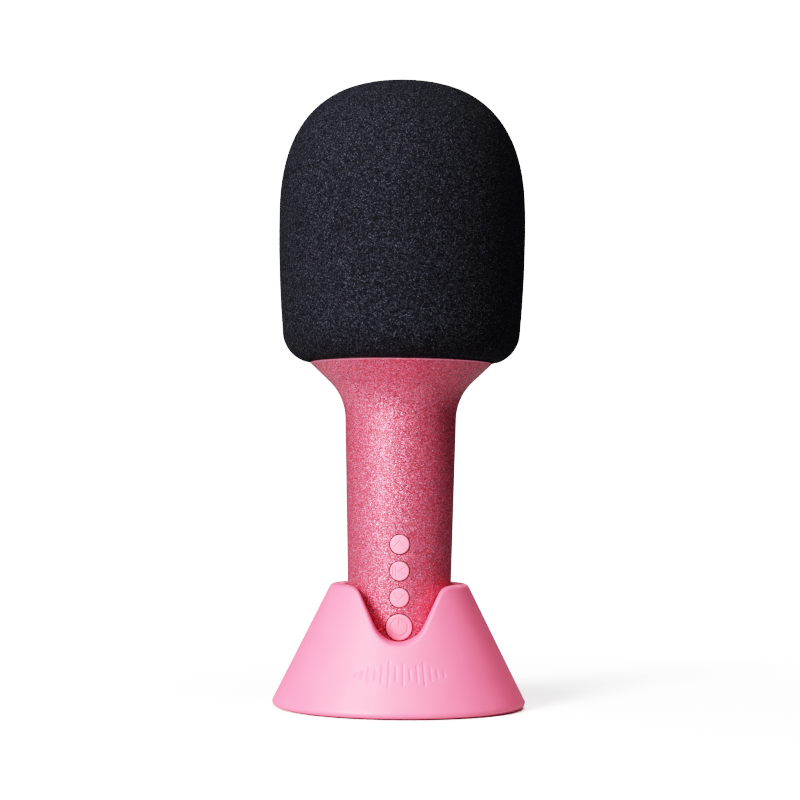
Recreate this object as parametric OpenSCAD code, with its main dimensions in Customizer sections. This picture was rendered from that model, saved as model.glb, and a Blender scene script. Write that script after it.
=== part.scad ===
// Wireless karaoke microphone with a foam windscreen, standing in a conical table stand.
// Millimetres. Origin: centre of the stand's foot on the table. +Z is up, and the buttons face -Y.

/* [Stand] */
// Widest radius of the stand, just above the table
stand_r = 44.1; // [43.8:0.1:45.5]
// Height of the stand's rim
stand_h = 43.1; // [42.6:0.1:43.6]
// Slope of the stand's wall away from the vertical, in degrees
stand_slope = 26.5; // [26.2:0.1:26.9]
// Radial gap between the handle and the stand's socket
socket_gap = 0.45; // [0.35:0.05:0.6]
// Height of the lowest point of the button notch
notch_z = 24.1; // [23.6:0.1:24.2]

/* [Handle] */
// Height of the handle's closed end above the table
handle_z = 6.6; // [6.55:0.05:6.8]
// Radius of the handle where it leaves the stand
handle_r = 18.13; // [18.0:0.05:18.3]
// Taper of the handle per side, in degrees
handle_taper = 1.4; // [1.3:0.1:1.5]
// Wall thickness of the handle
handle_wall = 2.0; // [1.8:0.1:2.1]
// Height where the flare begins
flare_z = 100.6; // [100.4:0.1:101]
// Radius of the flare's hollow curve
flare_curve = 18.3; // [18.2:0.1:18.5]
// Steepest angle of the flare away from the vertical, in degrees
flare_angle = 46.6; // [46.2:0.2:47]
// Radius of the lip at the top of the flare
lip_r = 31.95; // [31.9:0.05:32.0]
// Height of the lip's top face
lip_z = 120.2; // [120:0.1:120.4]

/* [Buttons] */
// Radius of the three small buttons
button_r = 3.3; // [3.1:0.1:3.4]
// Radius of the power button
power_r = 4.5; // [4.3:0.1:4.55]
// Radial gap around each button
button_gap = 0.3; // [0.2:0.02:0.32]
// How far each button stands out of the handle
button_proud = 0.4; // [0.3:0.1:0.4]
// Height of the power button's centre
power_z = 28.75; // [28.5:0.05:29]
// Height of the volume down button's centre, the lowest of the three small ones
small_z = 38.85; // [38.5:0.05:40]
// Distance from one small button to the next
small_pitch = 9.1; // [9:0.1:10]
// Travel of each button
button_travel = 0.4; // [0.3:0.05:0.4]

/* [Windscreen] */
// Largest radius of the foam
foam_r = 43.3; // [43:0.1:43.5]
// Height of the foam's widest girth
foam_girth_z = 168.4; // [167:0.2:170]
// Height of the foam's top
foam_top_z = 218.8; // [218:0.1:221]
// Radius of the hollow inside the foam
foam_bore = 32.0; // [32.0:0.05:32.1]
// Height of the hollow's top
foam_bore_top_z = 208.4; // [208.3:0.1:208.8]

/* [Head] */
// Outer radius of the wire grille
grille_r = 31.6; // [31.5:0.05:31.65]
// Height of the grille's top
grille_top_z = 207.9; // [207:0.1:208]
// Thickness of the grille
grille_t = 0.8; // [0.7:0.1:0.9]

/* [Hidden] */
$fn = 96;

button_z = [power_z, small_z, small_z + small_pitch, small_z + 2 * small_pitch];

// ---- shared outlines -------------------------------------------------------------------------

function arc(cx, cy, r, from, to, n = 10) =
    [for (i = [0:n]) let(a = from + (to - from) * i / n) [cx + r * cos(a), cy + r * sin(a)]];

function reversed(list) = [for (i = [len(list) - 1:-1:0]) list[i]];

// Outer radius of the straight handle at height z; the flare starts where it ends.
handle_ref_z = 45;
function handle_radius(z) = handle_r + (z - handle_ref_z) * tan(handle_taper);

// Outline of the flare, from the handle up to the lip, moved inwards by t along its normal.
flare_cx = handle_radius(flare_z) + flare_curve * cos(handle_taper);
flare_cz = flare_z - flare_curve * sin(handle_taper);
function flare_arc(t, n = 12) =
    [for (i = [0:n]) let(a = handle_taper + (flare_angle - handle_taper) * i / n)
        [flare_cx - (flare_curve + t) * cos(a), flare_cz + (flare_curve + t) * sin(a)]];
lip_h = 0.6;
lip_bevel = 0.3;

// Superelliptic dome: radius r, from height z0 to the top z1.
dome_power = 2.57;
function dome(r, z0, z1, n = 22) =
    [for (i = [0:n]) let(a = 90 * i / n)
        [r * pow(cos(a), 2 / dome_power), z0 + (z1 - z0) * pow(sin(a), 2 / dome_power)]];

// A ring between two radii.
module ring(r_in, r_out, z, h) {
    translate([0, 0, z]) rotate_extrude() translate([r_in, 0]) square([r_out - r_in, h]);
}

// A pan-head screw pointing along -Z, with its seat at the origin and a cross recess.
module screw(shank_r, shank_l, head_r, head_h) {
    difference() {
        union() {
            translate([0, 0, -shank_l]) cylinder(r = shank_r, h = shank_l + 0.2);
            cylinder(r1 = head_r, r2 = head_r * 0.8, h = head_h);
        }
        for (turn = [0, 90]) rotate([0, 0, turn])
            translate([-head_r * 0.6, -0.2, head_h * 0.45]) cube([head_r * 1.2, 0.4, head_h]);
    }
}

// ---- stand ------------------------------------------------------------------------------------

foot_t = 1.0;            // foot pad
shell_z = 0.5;           // the pad's lower half shows below the shell
toe_r = 1.5;             // rounding of the shell's lower edge
rim_round = 1.2;         // rounding of the rim
socket_z = 6.5;          // floor of the socket
recess_r = 39.6;         // the base plate lies in this recess
plate_t = 2.0;
relief_top = 17;         // top of the hollow under the shell
relief_in = 22.4;
relief_wall = 4.2;       // wall left outside the hollow
boss_pcd_r = 34.6;
boss_r = 3.2;
stand_screw_r = 1.3;
stand_screw_l = 7.5;
stand_screw_head = 2.5;  // radius of the base screws' heads
base_turns = [30:120:270];
pad_inset = 1.6;         // the pad's edge lies this far inside the shell's toe
plate_gap = 0.3;         // radial gap round the base plate
pilot_gap = 0.05;        // radial gap round a screw in its pilot hole
through_gap = 0.2;       // radial gap round a screw where it passes
weight_gap = 0.8;
weight_out = 30.6;
weight_h = 6;
plate_z = foot_t;
relief_z = plate_z + plate_t;

// Point on the stand's outer slope.
toe_cx = stand_r - toe_r;
toe_cz = shell_z + toe_r;
slope_r0 = toe_cx + toe_r * cos(stand_slope);
slope_z0 = toe_cz + toe_r * sin(stand_slope);
function stand_radius(z) = slope_r0 - (z - slope_z0) * tan(stand_slope);
function socket_radius(z) = handle_radius(z) + socket_gap;

rim_out_cz = stand_h - rim_round;
rim_out_cx = stand_radius(rim_out_cz + rim_round * sin(stand_slope)) - rim_round * cos(stand_slope);
rim_in_cx = socket_radius(stand_h) + rim_round;

module stand_outline() {
    polygon(concat(
        [[0, shell_z]],
        arc(toe_cx, toe_cz, toe_r, -90, stand_slope, 8),
        arc(rim_out_cx, rim_out_cz, rim_round, stand_slope, 90, 6),
        arc(rim_in_cx, rim_out_cz, rim_round, 90, 180, 6),
        [[socket_radius(socket_z), socket_z], [0, socket_z]]));
}

// Front notch: a round bottom, sloping sides and rounded shoulders.
notch_r = 9.3;
notch_side = 65;
shoulder_r = 5.6;
module notch_outline() {
    bottom_x = notch_r * sin(notch_side);
    bottom_z = notch_z + notch_r * (1 - cos(notch_side));
    shoulder_x = shoulder_r * sin(notch_side);
    shoulder_z = stand_h - shoulder_r * (1 - cos(notch_side));
    run = (shoulder_z - bottom_z) / tan(notch_side);
    shoulder_cx = bottom_x + run + shoulder_x;
    right = concat(
        arc(0, notch_z + notch_r, notch_r, -90, -90 + notch_side, 10),
        arc(shoulder_cx, stand_h - shoulder_r, shoulder_r, 90 + notch_side, 90, 8),
        [[shoulder_cx, stand_h + 5]]);
    left = [for (p = reversed(right)) if (p[0] > 0.001) [-p[0], p[1]]];
    polygon(concat(right, left));
}

module stand_shell() {
    color("hotpink") difference() {
        rotate_extrude() stand_outline();
        translate([0, 0, shell_z - 1]) cylinder(r = recess_r, h = relief_z - shell_z + 1);
        difference() {
            rotate_extrude() polygon([
                [relief_in, relief_z - 0.5], [stand_radius(relief_z) - relief_wall, relief_z - 0.5],
                [stand_radius(relief_top) - relief_wall, relief_top], [relief_in, relief_top]]);
            for (turn = base_turns) rotate([0, 0, turn])
                translate([boss_pcd_r, 0, relief_z]) cylinder(r = boss_r, h = relief_top);
        }
        for (turn = base_turns) rotate([0, 0, turn])
            translate([boss_pcd_r, 0, relief_z - 0.5])
                cylinder(r = stand_screw_r + pilot_gap, h = stand_screw_l + 0.5, $fn = 32);
        rotate([90, 0, 0]) linear_extrude(60) notch_outline();
    }
}

module stand_foot_pad() {
    color("dimgray") {
        cylinder(r = stand_r - toe_r - pad_inset, h = shell_z);
        translate([0, 0, shell_z]) cylinder(r = recess_r - plate_gap, h = foot_t - shell_z);
    }
}

screw_head_h = 1.3;
module stand_base_plate() {
    color("dimgray") difference() {
        translate([0, 0, plate_z]) cylinder(r = recess_r - plate_gap, h = plate_t);
        for (turn = base_turns) rotate([0, 0, turn]) translate([boss_pcd_r, 0, 0]) {
            cylinder(r = stand_screw_r + through_gap, h = relief_z + 1, $fn = 32);
            cylinder(r = stand_screw_head + through_gap, h = plate_z + screw_head_h, $fn = 32);
        }
    }
}

module stand_weight() {
    color("silver") ring(relief_in + weight_gap, weight_out, relief_z, weight_h);
}

module stand_base_screws() {
    color("silver") for (turn = base_turns) rotate([0, 0, turn])
        translate([boss_pcd_r, 0, plate_z + screw_head_h]) mirror([0, 0, 1])
            screw(stand_screw_r, stand_screw_l, stand_screw_head, screw_head_h - pilot_gap);
}

// ---- handle -----------------------------------------------------------------------------------

cap_flange_h = 4;        // height of the end cap below the barrel
barrel_z = handle_z + cap_flange_h;
seat_z = 116.0;          // the speaker's gasket lies here
seat_in = 19.8;
seat_out = 24.2;
mouth_r = 28.5;          // the head collar plugs in here
mouth_z = 118.4;
seat_t = 2.6;            // thickness of the ledge under the gasket
flare_wall = 2.2;
lead_hole_r = 1.1;       // the capsule's lead passes the speaker here
lead_hole_y = 21.0;

module barrel_outline() {
    top = flare_arc(0);
    last = top[len(top) - 1];
    lip_low_z = lip_z - lip_h;
    lip_low_r = last[0] + (lip_low_z - last[1]) * tan(flare_angle);
    polygon(concat(
        [[handle_radius(barrel_z), barrel_z]],
        top,
        [[lip_low_r, lip_low_z], [lip_r, lip_low_z + lip_bevel], [lip_r, lip_z - lip_bevel],
         [lip_r - lip_bevel, lip_z],
         [mouth_r, lip_z], [mouth_r, mouth_z], [seat_out, mouth_z], [seat_out, seat_z], [seat_in, seat_z],
         [seat_in, seat_z - seat_t]],
        [for (p = reversed(flare_arc(flare_wall, 6))) if (p[0] < seat_in - 0.4) p],
        [[handle_radius(barrel_z) - handle_wall, barrel_z]]));
}

module button_hole(i) {
    r = (i == 0 ? power_r : button_r) + button_gap;
    translate([0, 0, button_z[i]]) rotate([90, 0, 0]) cylinder(r = r, h = 30, $fn = 64);
}

module barrel() {
    color("palevioletred") difference() {
        rotate_extrude() barrel_outline();
        for (i = [0:3]) button_hole(i);
        translate([0, lead_hole_y, seat_z - 4.2]) cylinder(r = lead_hole_r, h = 5, $fn = 32);
        translate([-lead_hole_r, lead_hole_y - 4, seat_z - 4.2]) cube([2 * lead_hole_r, 4, 5]);
        for (turn = [45:90:315]) rotate([0, 0, turn])
            translate([speaker_screw_r, 0, seat_z - 2.4]) cylinder(r = 0.85, h = 3, $fn = 32);
    }
}

cap_round = 2.0;
cap_floor = 2.4;
spigot_wall = 1.5;
cap_boss_x = 9.3;
cap_boss_y = 4.2;
spigot_gap = 0.1;
spigot_h = 5.4;
cap_screw_r = 1.15;
cap_screw_l = 11;
cap_screw_head = 2.1;    // radius of the end cap screws' heads
cap_screw_sink = 1.4;    // depth of their counterbores
module end_cap() {
    r_top = handle_radius(barrel_z);
    spigot_r = r_top - handle_wall - spigot_gap;
    color("lightpink") difference() {
        rotate_extrude() polygon(concat(
            [[0, handle_z]],
            arc(handle_radius(handle_z) - cap_round, handle_z + cap_round, cap_round, -90, 0, 6),
            [[r_top, barrel_z], [spigot_r, barrel_z], [spigot_r, barrel_z + spigot_h],
             [spigot_r - spigot_wall, barrel_z + spigot_h], [spigot_r - spigot_wall, handle_z + cap_floor],
             [0, handle_z + cap_floor]]));
        translate([0, port_y, handle_z - 1]) linear_extrude(5) pill(port_w + 0.5, port_h + 0.5);
        for (side = [-1, 1]) translate([side * cap_boss_x, cap_boss_y, 0]) {
            cylinder(r = cap_screw_r + through_gap, h = 20, $fn = 32);
            cylinder(r = cap_screw_head + through_gap, h = handle_z + cap_screw_sink, $fn = 32);
        }
    }
}

// A slot shape with round ends.
module pill(w, h) {
    square([w - h, h], center = true);
    for (side = [-1, 1]) translate([side * (w - h) / 2, 0]) circle(d = h, $fn = 32);
}

module end_cap_screws() {
    color("silver") for (side = [-1, 1])
        translate([side * cap_boss_x, cap_boss_y, handle_z + cap_screw_sink]) mirror([0, 0, 1])
            screw(cap_screw_r, cap_screw_l, cap_screw_head, 1.1);
}

// ---- chassis, battery and boards --------------------------------------------------------------

cell_r = 9.2;
cell_y = 4.8;
cell_z = 24.5;
cell_h = 65;
tab_w = 7;
tab_l = 9;
board_y = -10.2;         // front face of the board, which carries the switches
board_t = 1.2;
port_w = 8.94;
port_h = 3.26;
port_y = board_y + board_t + port_h / 2;   // centre line of the charging port, on the board's back
board_w = 21.6;
board_z = 17.5;
board_h = 76;
tongue_w = 12;           // the board narrows to a tongue that carries the charging port
tongue_z = 9.6;
lead_x = 2.2;            // the battery's leads pass the chassis here
lead_tab_y = 0.2;
chassis_hole_r = 1.3;
board_post_x = 8.4;
board_post_r = 1.9;
board_screw_r = 0.8;
cap_boss_r = 2.5;
board_post_z = [22.9, 90.3];

rib_z = [36, 56, 76];    // windows in the cradle's back
chassis_t = 1.8;

// A chassis plate: a disc cut off flat behind the board.
module chassis_plate(z) {
    plate_r = 14.6;
    translate([0, 0, z]) intersection() {
        cylinder(r = plate_r, h = chassis_t);
        translate([-20, -6.2, 0]) cube([40, 40, 5]);
    }
}

module chassis() {
    cradle_r = 10.7;
    color("gainsboro") difference() {
        union() {
            chassis_plate(cell_z - 4);
            chassis_plate(cell_z + cell_h + 0.7);
            translate([0, cell_y, 21]) intersection() {
                cylinder(r = cradle_r, h = cell_h + 5);
                translate([-20, -20, 0]) cube([40, 19, 100]);
            }
            for (x = [-1, 1], z = board_post_z)
                translate([x * board_post_x, -1, z]) rotate([90, 0, 0])
                    cylinder(r = board_post_r, h = -board_y - board_t - 1, $fn = 32);
            for (side = [-1, 1]) translate([side * cap_boss_x, cap_boss_y, handle_z + cap_floor + 0.1])
                cylinder(r = cap_boss_r, h = 13, $fn = 32);
        }
        translate([lead_x, lead_tab_y, cell_z + cell_h]) cylinder(r = chassis_hole_r, h = 4, $fn = 32);
        translate([-lead_x, lead_tab_y, cell_z - 5]) cylinder(r = chassis_hole_r, h = 5, $fn = 32);
        translate([0, cell_y, cell_z - 0.6]) cylinder(r = cell_r + 0.25, h = cell_h + 1.2);
        for (side = [-1, 1]) translate([side * cap_boss_x, cap_boss_y, 0])
            cylinder(r = cap_screw_r + pilot_gap, h = 19.5, $fn = 32);
        for (x = [-1, 1], z = board_post_z)
            translate([x * board_post_x, -4, z]) rotate([90, 0, 0])
                cylinder(r = board_screw_r + pilot_gap, h = 10, $fn = 32);
        for (z = rib_z) translate([0, -2, z]) rotate([90, 0, 0]) cylinder(r = 4, h = 10, $fn = 48);
    }
}

module battery() {
    color("steelblue") translate([0, cell_y, cell_z]) cylinder(r = cell_r, h = cell_h);
    color("silver") translate([0, cell_y, cell_z + cell_h]) cylinder(r = 2.8, h = 0.3);
}

module battery_tabs() {
    color("silver") {
        translate([-tab_w / 2, cell_y - 6, cell_z - 0.35]) cube([tab_w, tab_l, 0.3]);
        translate([-tab_w / 2, cell_y - 6, cell_z + cell_h + 0.32]) cube([tab_w, tab_l, 0.25]);
    }
}

module main_board() {
    color("darkgreen") difference() {
        union() {
            translate([-board_w / 2, board_y, board_z]) cube([board_w, board_t, board_h]);
            translate([-tongue_w / 2, board_y, tongue_z]) cube([tongue_w, board_t, board_z - tongue_z]);
        }
        for (x = [-1, 1], z = board_post_z)
            translate([x * board_post_x, board_y + 5, z]) rotate([90, 0, 0])
                cylinder(r = board_screw_r + 0.3, h = 10, $fn = 32);
    }
}

module board_screws() {
    color("silver") for (x = [-1, 1], z = board_post_z)
        translate([x * board_post_x, board_y, z]) rotate([90, 0, 0]) screw(board_screw_r, 4.2, 1.7, 0.9);
}

// Parts on the board: width, height along Z and thickness, each at x and z on the back or the front.
back_parts = [
    [-4.8, 30, 3.4, 6, 1.6], [4.6, 30, 4, 4, 1.2], [0, 44.5, 12, 9, 1.4], [-5, 57, 5, 5, 1.0],
    [5, 57, 6, 6, 2.0], [0, 66, 7, 7, 1.0], [-6, 77, 4, 6, 2.2], [0, 77, 4, 6, 2.2], [6, 77, 4, 6, 2.2],
    [2.9, 84, 2.4, 3, 2.0]
];
front_parts = [
    [-7.6, 36, 2, 1.2, 0.6], [7.6, 44, 2, 1.2, 0.6], [0, 70, 11, 13, 2.0], [-6, 84, 4, 4, 1.0],
    [5, 84, 3, 5, 1.0]
];
module board_components() {
    color("dimgray") {
        for (p = back_parts)
            translate([p[0] - p[2] / 2, board_y + board_t, p[1] - p[3] / 2]) cube([p[2], p[4], p[3]]);
        for (p = front_parts)
            translate([p[0] - p[2] / 2, board_y - p[4], p[1] - p[3] / 2]) cube([p[2], p[4], p[3]]);
    }
}

switch_w = 5;
switch_h = 1.6;
plunger_r = 1.4;
switch_base_t = 0.25;    // solid bottom of a switch body, under the plunger
plunger_face_y = board_y - switch_h - 0.9;   // outer end of a plunger, where the button's stem meets it
module switch_bodies() {
    color("black") for (z = button_z) difference() {
        translate([-switch_w / 2, board_y - switch_h, z - switch_w / 2]) cube([switch_w, switch_h, switch_w]);
        translate([0, board_y - switch_base_t, z]) rotate([90, 0, 0])
            cylinder(r = plunger_r + 0.1, h = 5, $fn = 32);
    }
}

module plunger(i) {
    inner_y = board_y - switch_base_t - button_travel - 0.1;
    color("white") translate([0, inner_y, button_z[i]]) rotate([90, 0, 0])
        cylinder(r = plunger_r, h = inner_y - plunger_face_y, $fn = 32);
}

module power_plunger() { plunger(0); }
module volume_down_plunger() { plunger(1); }
module play_plunger() { plunger(2); }
module volume_up_plunger() { plunger(3); }

module charging_port() {
    depth = 7.2;
    skin = 0.3;
    tongue = 0.7;
    color("silver") translate([0, port_y, handle_z + 0.5]) difference() {
        linear_extrude(depth) pill(port_w, port_h);
        translate([0, 0, -1]) linear_extrude(depth) pill(port_w - 2 * skin, port_h - 2 * skin);
    }
    color("black") translate([-3.3, port_y - tongue / 2, handle_z + 1.2]) cube([6.6, tongue, depth - 1.7]);
}

// ---- buttons ----------------------------------------------------------------------------------

icon_depth = 0.22;
icon_line = 0.32;
power_ring_r = 2.95;
power_ring_gap = 17;     // half angle of the opening in the power icon's ring

// A line with round ends.
module stroke(from, to) {
    run = to - from;
    translate(from) rotate(atan2(run[1], run[0])) translate([0, -icon_line / 2])
        square([norm(run), icon_line]);
    for (end = [from, to]) translate(end) circle(d = icon_line, $fn = 16);
}

// An arrow head from its two ends to its tip.
module arrow(end_a, tip, end_b) {
    stroke(end_a, tip);
    stroke(tip, end_b);
}

module power_ring() {
    difference() {
        circle(r = power_ring_r + icon_line / 2, $fn = 64);
        circle(r = power_ring_r - icon_line / 2, $fn = 64);
        polygon([[0, 0], [-power_r * sin(power_ring_gap), power_r * cos(power_ring_gap)],
                 [power_r * sin(power_ring_gap), power_r * cos(power_ring_gap)]]);
    }
}

// Icons as seen from the front, drawn with x to the right and y up.
module icon(i) {
    if (i == 0) {
        power_ring();
        stroke([0, 0.8], [0, 3.3]);
    }
    if (i == 1) arrow([-1.9, 1.2], [0, -0.85], [1.9, 1.2]);
    if (i == 2) {
        stroke([-2.15, -1.5], [-2.15, 1.5]);
        stroke([-1.15, -1.6], [-1.15, 1.6]);
        arrow([2.1, 1.4], [-0.25, 0], [2.1, -1.4]);
    }
    if (i == 3) arrow([-1.9, -0.8], [0, 1.25], [1.9, -0.8]);
}

stem_r = 1.6;
flange_y = -14.6;
flange_rim = 0.6;        // how far a button's flange reaches past its cap, behind the handle's wall
button_flange_t = 0.8;
module button(i) {
    r = i == 0 ? power_r : button_r;
    flange_r = r + flange_rim;
    z = button_z[i];
    taper = tan(handle_taper);
    reach = 8;
    low_r = handle_radius(z) - reach * taper + button_proud;
    high_r = handle_radius(z) + reach * taper + button_proud;
    color("pink") difference() {
        union() {
            intersection() {
                translate([0, flange_y, z]) rotate([90, 0, 0]) cylinder(r = r, h = 10, $fn = 64);
                translate([0, 0, z - reach]) cylinder(r1 = low_r, r2 = high_r, h = 2 * reach);
            }
            translate([0, flange_y + button_flange_t, z]) rotate([90, 0, 0])
                cylinder(r = flange_r, h = button_flange_t, $fn = 64);
            translate([0, plunger_face_y, z]) rotate([90, 0, 0])
                cylinder(r = stem_r, h = plunger_face_y - flange_y, $fn = 32);
        }
        difference() {
            translate([0, flange_y, z]) rotate([90, 0, 0]) linear_extrude(10) icon(i);
            translate([0, 0, z - reach])
                cylinder(r1 = low_r - icon_depth, r2 = high_r - icon_depth, h = 2 * reach);
        }
    }
}

module power_button() { button(0); }
module volume_down_button() { button(1); }
module play_button() { button(2); }
module volume_up_button() { button(3); }

// ---- speaker ----------------------------------------------------------------------------------

gasket_t = 0.4;
basket_z = seat_z + gasket_t;    // underside of the basket's flange
flange_t = 1.2;
basket_r = 23.4;
basket_open = 19.0;
basket_floor_z = 106;
basket_floor_r = 12.8;
speaker_screw_r = 21.7;          // the flange's screws stand on this radius
plate_top_z = basket_floor_z;    // the yoke's top plate touches the basket's floor
basket_skin = 0.9;
basket_hole_r = 8;
vent_r = 2.6;
vent_z = 111.2;
magnet_z = 98;
magnet_r = 13.2;
magnet_h = 5.5;
yoke_r = magnet_r - 0.4;
yoke_t = 2;
pole_r = 6.0;
coil_in = 6.35;
coil_out = 6.85;
cone_r = 16.8;
cone_top_z = basket_z + 0.4;

module speaker_gasket() {
    color("black") difference() {
        ring(seat_in, basket_r, seat_z, gasket_t);
        speaker_flange_holes(1.1);
    }
}

module speaker_flange_holes(r) {
    for (turn = [45:90:315]) rotate([0, 0, turn])
        translate([speaker_screw_r, 0, seat_z - 1]) cylinder(r = r, h = 5, $fn = 32);
    translate([0, lead_hole_y, seat_z - 1]) cylinder(r = lead_hole_r, h = 5, $fn = 32);
}

module speaker_basket() {
    color("gray") difference() {
        rotate_extrude() polygon([
            [basket_r, basket_z], [basket_r, basket_z + flange_t], [basket_open, basket_z + flange_t],
            [basket_open, basket_z], [basket_floor_r + 1.2, basket_floor_z + 1.2],
            [basket_floor_r + 1.2, basket_floor_z + basket_skin],
            [basket_hole_r, basket_floor_z + basket_skin],
            [basket_hole_r, basket_floor_z], [basket_floor_r + basket_skin, basket_floor_z],
            [basket_open + 0.7, basket_z]]);
        speaker_flange_holes(1.0);
        for (turn = [0:90:270]) rotate([0, 0, turn])
            translate([0, 0, vent_z]) rotate([90, 0, 0]) cylinder(r = vent_r, h = 30, $fn = 48);
    }
}

module speaker_yoke() {
    color("silver") {
        ring(7.3, yoke_r, magnet_z + magnet_h, plate_top_z - magnet_z - magnet_h);
        rotate_extrude() polygon([
            [0, magnet_z - yoke_t], [yoke_r, magnet_z - yoke_t], [yoke_r, magnet_z],
            [pole_r, magnet_z], [pole_r, plate_top_z], [0, plate_top_z]]);
    }
}

module speaker_magnet() {
    color("dimgray") ring(8.6, magnet_r, magnet_z, magnet_h);
}

coil_h = 10.2;
coil_top = magnet_z + 12;

module voice_coil() {
    color("peru") ring(coil_in, coil_out, coil_top - coil_h, coil_h);
}

module speaker_cone() {
    color("darkslategray") rotate_extrude() polygon(concat(
        [[coil_in, coil_top], [coil_in + 0.9, coil_top], [cone_r, cone_top_z - 0.5], [cone_r, cone_top_z],
         [cone_r - 0.6, cone_top_z], [coil_out + 0.6, coil_top + 0.9]],
        arc(0, coil_top - 6.2, 9.6, 46, 90, 6),
        arc(0, coil_top - 6.8, 9.6, 90, 50, 6)));
}

module speaker_spider() {
    color("goldenrod") ring(coil_out + 0.05, basket_floor_r + 0.8, basket_floor_z + basket_skin, 0.4);
}

// A half roll between the cone and the basket's flange.
module speaker_surround() {
    skin = 0.45;
    inner = cone_r + 0.1;
    outer = 20.1;
    roll = (basket_open - inner) / 2;
    middle = (basket_open + inner) / 2;
    top = basket_z + flange_t;
    color("black") rotate_extrude() polygon(concat(
        [[inner, cone_top_z - 0.4]],
        arc(middle, top, roll, 180, asin(skin / roll), 10),
        [[outer, top + skin], [outer, top], [basket_open, top]],
        arc(middle, top, roll - skin, 0, 180, 8),
        [[inner + skin, cone_top_z - 0.4]]));
}

module speaker_screws() {
    color("silver") for (turn = [45:90:315]) rotate([0, 0, turn])
        translate([speaker_screw_r, 0, basket_z + flange_t]) screw(0.8, 3.6, 1.35, 0.9);
}

// ---- head -------------------------------------------------------------------------------------

collar_in = 26.2;
collar_t = 2.0;
collar_top = lip_z + collar_t;
bridge_r = 28.1;

module head_collar() {
    color("dimgray") rotate_extrude() polygon([
        [collar_in, mouth_z + 0.2], [mouth_r - 0.1, mouth_z + 0.2], [mouth_r - 0.1, lip_z],
        [grille_r - 0.1, lip_z],
        [grille_r - 0.1, collar_top], [bridge_r + 0.1, collar_top], [bridge_r + 0.1, collar_top - 1],
        [collar_in, collar_top - 1]]);
}

hub_z = 186;
hub_h = 11;
leg_foot_r = 25.9;
leg_top_r = 6.4;
leg_low_z = collar_top - 0.6;
leg_high_z = hub_z + 4;
leg_r = 1.3;
hub_r = 7.6;
hub_floor = 2;
grommet_r = 5.95;
module capsule_bridge() {
    lean = atan((leg_foot_r - leg_top_r) / (leg_high_z - leg_low_z));
    leg_l = (leg_high_z - leg_low_z) / cos(lean);
    color("dimgray") difference() {
        union() {
            ring(24.2, bridge_r, collar_top - 1, 1.2);
            translate([0, 0, hub_z]) cylinder(r = hub_r, h = hub_h);
            for (turn = [90:120:330]) rotate([0, 0, turn])
                translate([leg_foot_r, 0, leg_low_z]) rotate([0, -lean, 0])
                    cylinder(r = leg_r, h = leg_l, $fn = 32);
        }
        translate([0, 0, hub_z + hub_floor]) cylinder(r = grommet_r + 0.05, h = hub_h);
        translate([0, 0, hub_z - 1]) cylinder(r = 1.6, h = 5, $fn = 32);
        translate([0, 0, leg_low_z - 5]) cylinder(r = 40, h = 5 - 0.4);
    }
}

capsule_r = 4.85;
capsule_z = hub_z + 3;
capsule_h = 7.6;
capsule_felt_r = capsule_r - 0.8;
module capsule_grommet() {
    color("black") ring(capsule_r + 0.05, grommet_r, hub_z + hub_floor, 8);
}

module mic_capsule() {
    color("silver") translate([0, 0, capsule_z]) difference() {
        cylinder(r = capsule_r, h = capsule_h);
        translate([0, 0, capsule_h - 0.4]) cylinder(r = capsule_felt_r, h = 1);
    }
    color("black") translate([0, 0, capsule_z + capsule_h - 0.4]) cylinder(r = capsule_felt_r, h = 0.2);
}

function grille_outline(r, top) = concat([[r, collar_top]], dome(r, foam_girth_z, top));

module dome_shell(r, top, t) {
    rotate_extrude() polygon(concat(grille_outline(r, top), reversed(grille_outline(r - t, top - t))));
}

module grille() {
    color("silver") dome_shell(grille_r, grille_top_z, grille_t);
}

liner_t = 1.5;
liner_gap = 0.1;
module grille_liner() {
    color("black") dome_shell(grille_r - grille_t - liner_gap, grille_top_z - grille_t - liner_gap, liner_t);
}

// Foam outline: a superelliptic dome over a slightly tapered body with a round lower edge.
foam_low_r = 41.7;       // radius at the top of the lower rounding
foam_low_z = 131.2;
foam_edge = [10.8, 11.2];
foam_hem_z = lip_z + 0.2;
function foam_side(n = 6) =
    [for (i = [1:n - 1]) let(t = i / n)
        [foam_low_r + (foam_r - foam_low_r) * (1 - pow(1 - t, 2)),
         foam_low_z + (foam_girth_z - foam_low_z) * t]];
function foam_corner(n = 10) =
    [for (i = [0:n]) let(a = -84 + 84 * i / n)
        [foam_low_r - foam_edge[0] * (1 - cos(a)), foam_low_z + foam_edge[1] * sin(a)]];

module windscreen() {
    corner = foam_corner();
    color("black") rotate_extrude() polygon(concat(
        [[foam_bore, foam_hem_z]],
        [for (p = corner) if (p[1] > foam_hem_z + 0.02 && p[0] > foam_bore + 0.02) p],
        foam_side(), dome(foam_r, foam_girth_z, foam_top_z),
        reversed(dome(foam_bore, foam_girth_z, foam_bore_top_z))));
}

// ---- leads ------------------------------------------------------------------------------------

// Catmull-Rom curve through the points, with k steps between two of them.
function spline_point(a, b, c, d, t) =
    0.5 * (2 * b + (c - a) * t + (2 * a - 5 * b + 4 * c - d) * t * t + (3 * b - a - 3 * c + d) * t * t * t);
function spline(p, k = 4) = let(n = len(p)) concat(
    [for (i = [0:n - 2], s = [0:k - 1])
        spline_point(p[max(i - 1, 0)], p[i], p[i + 1], p[min(i + 2, n - 1)], s / k)],
    [p[n - 1]]);

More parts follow.
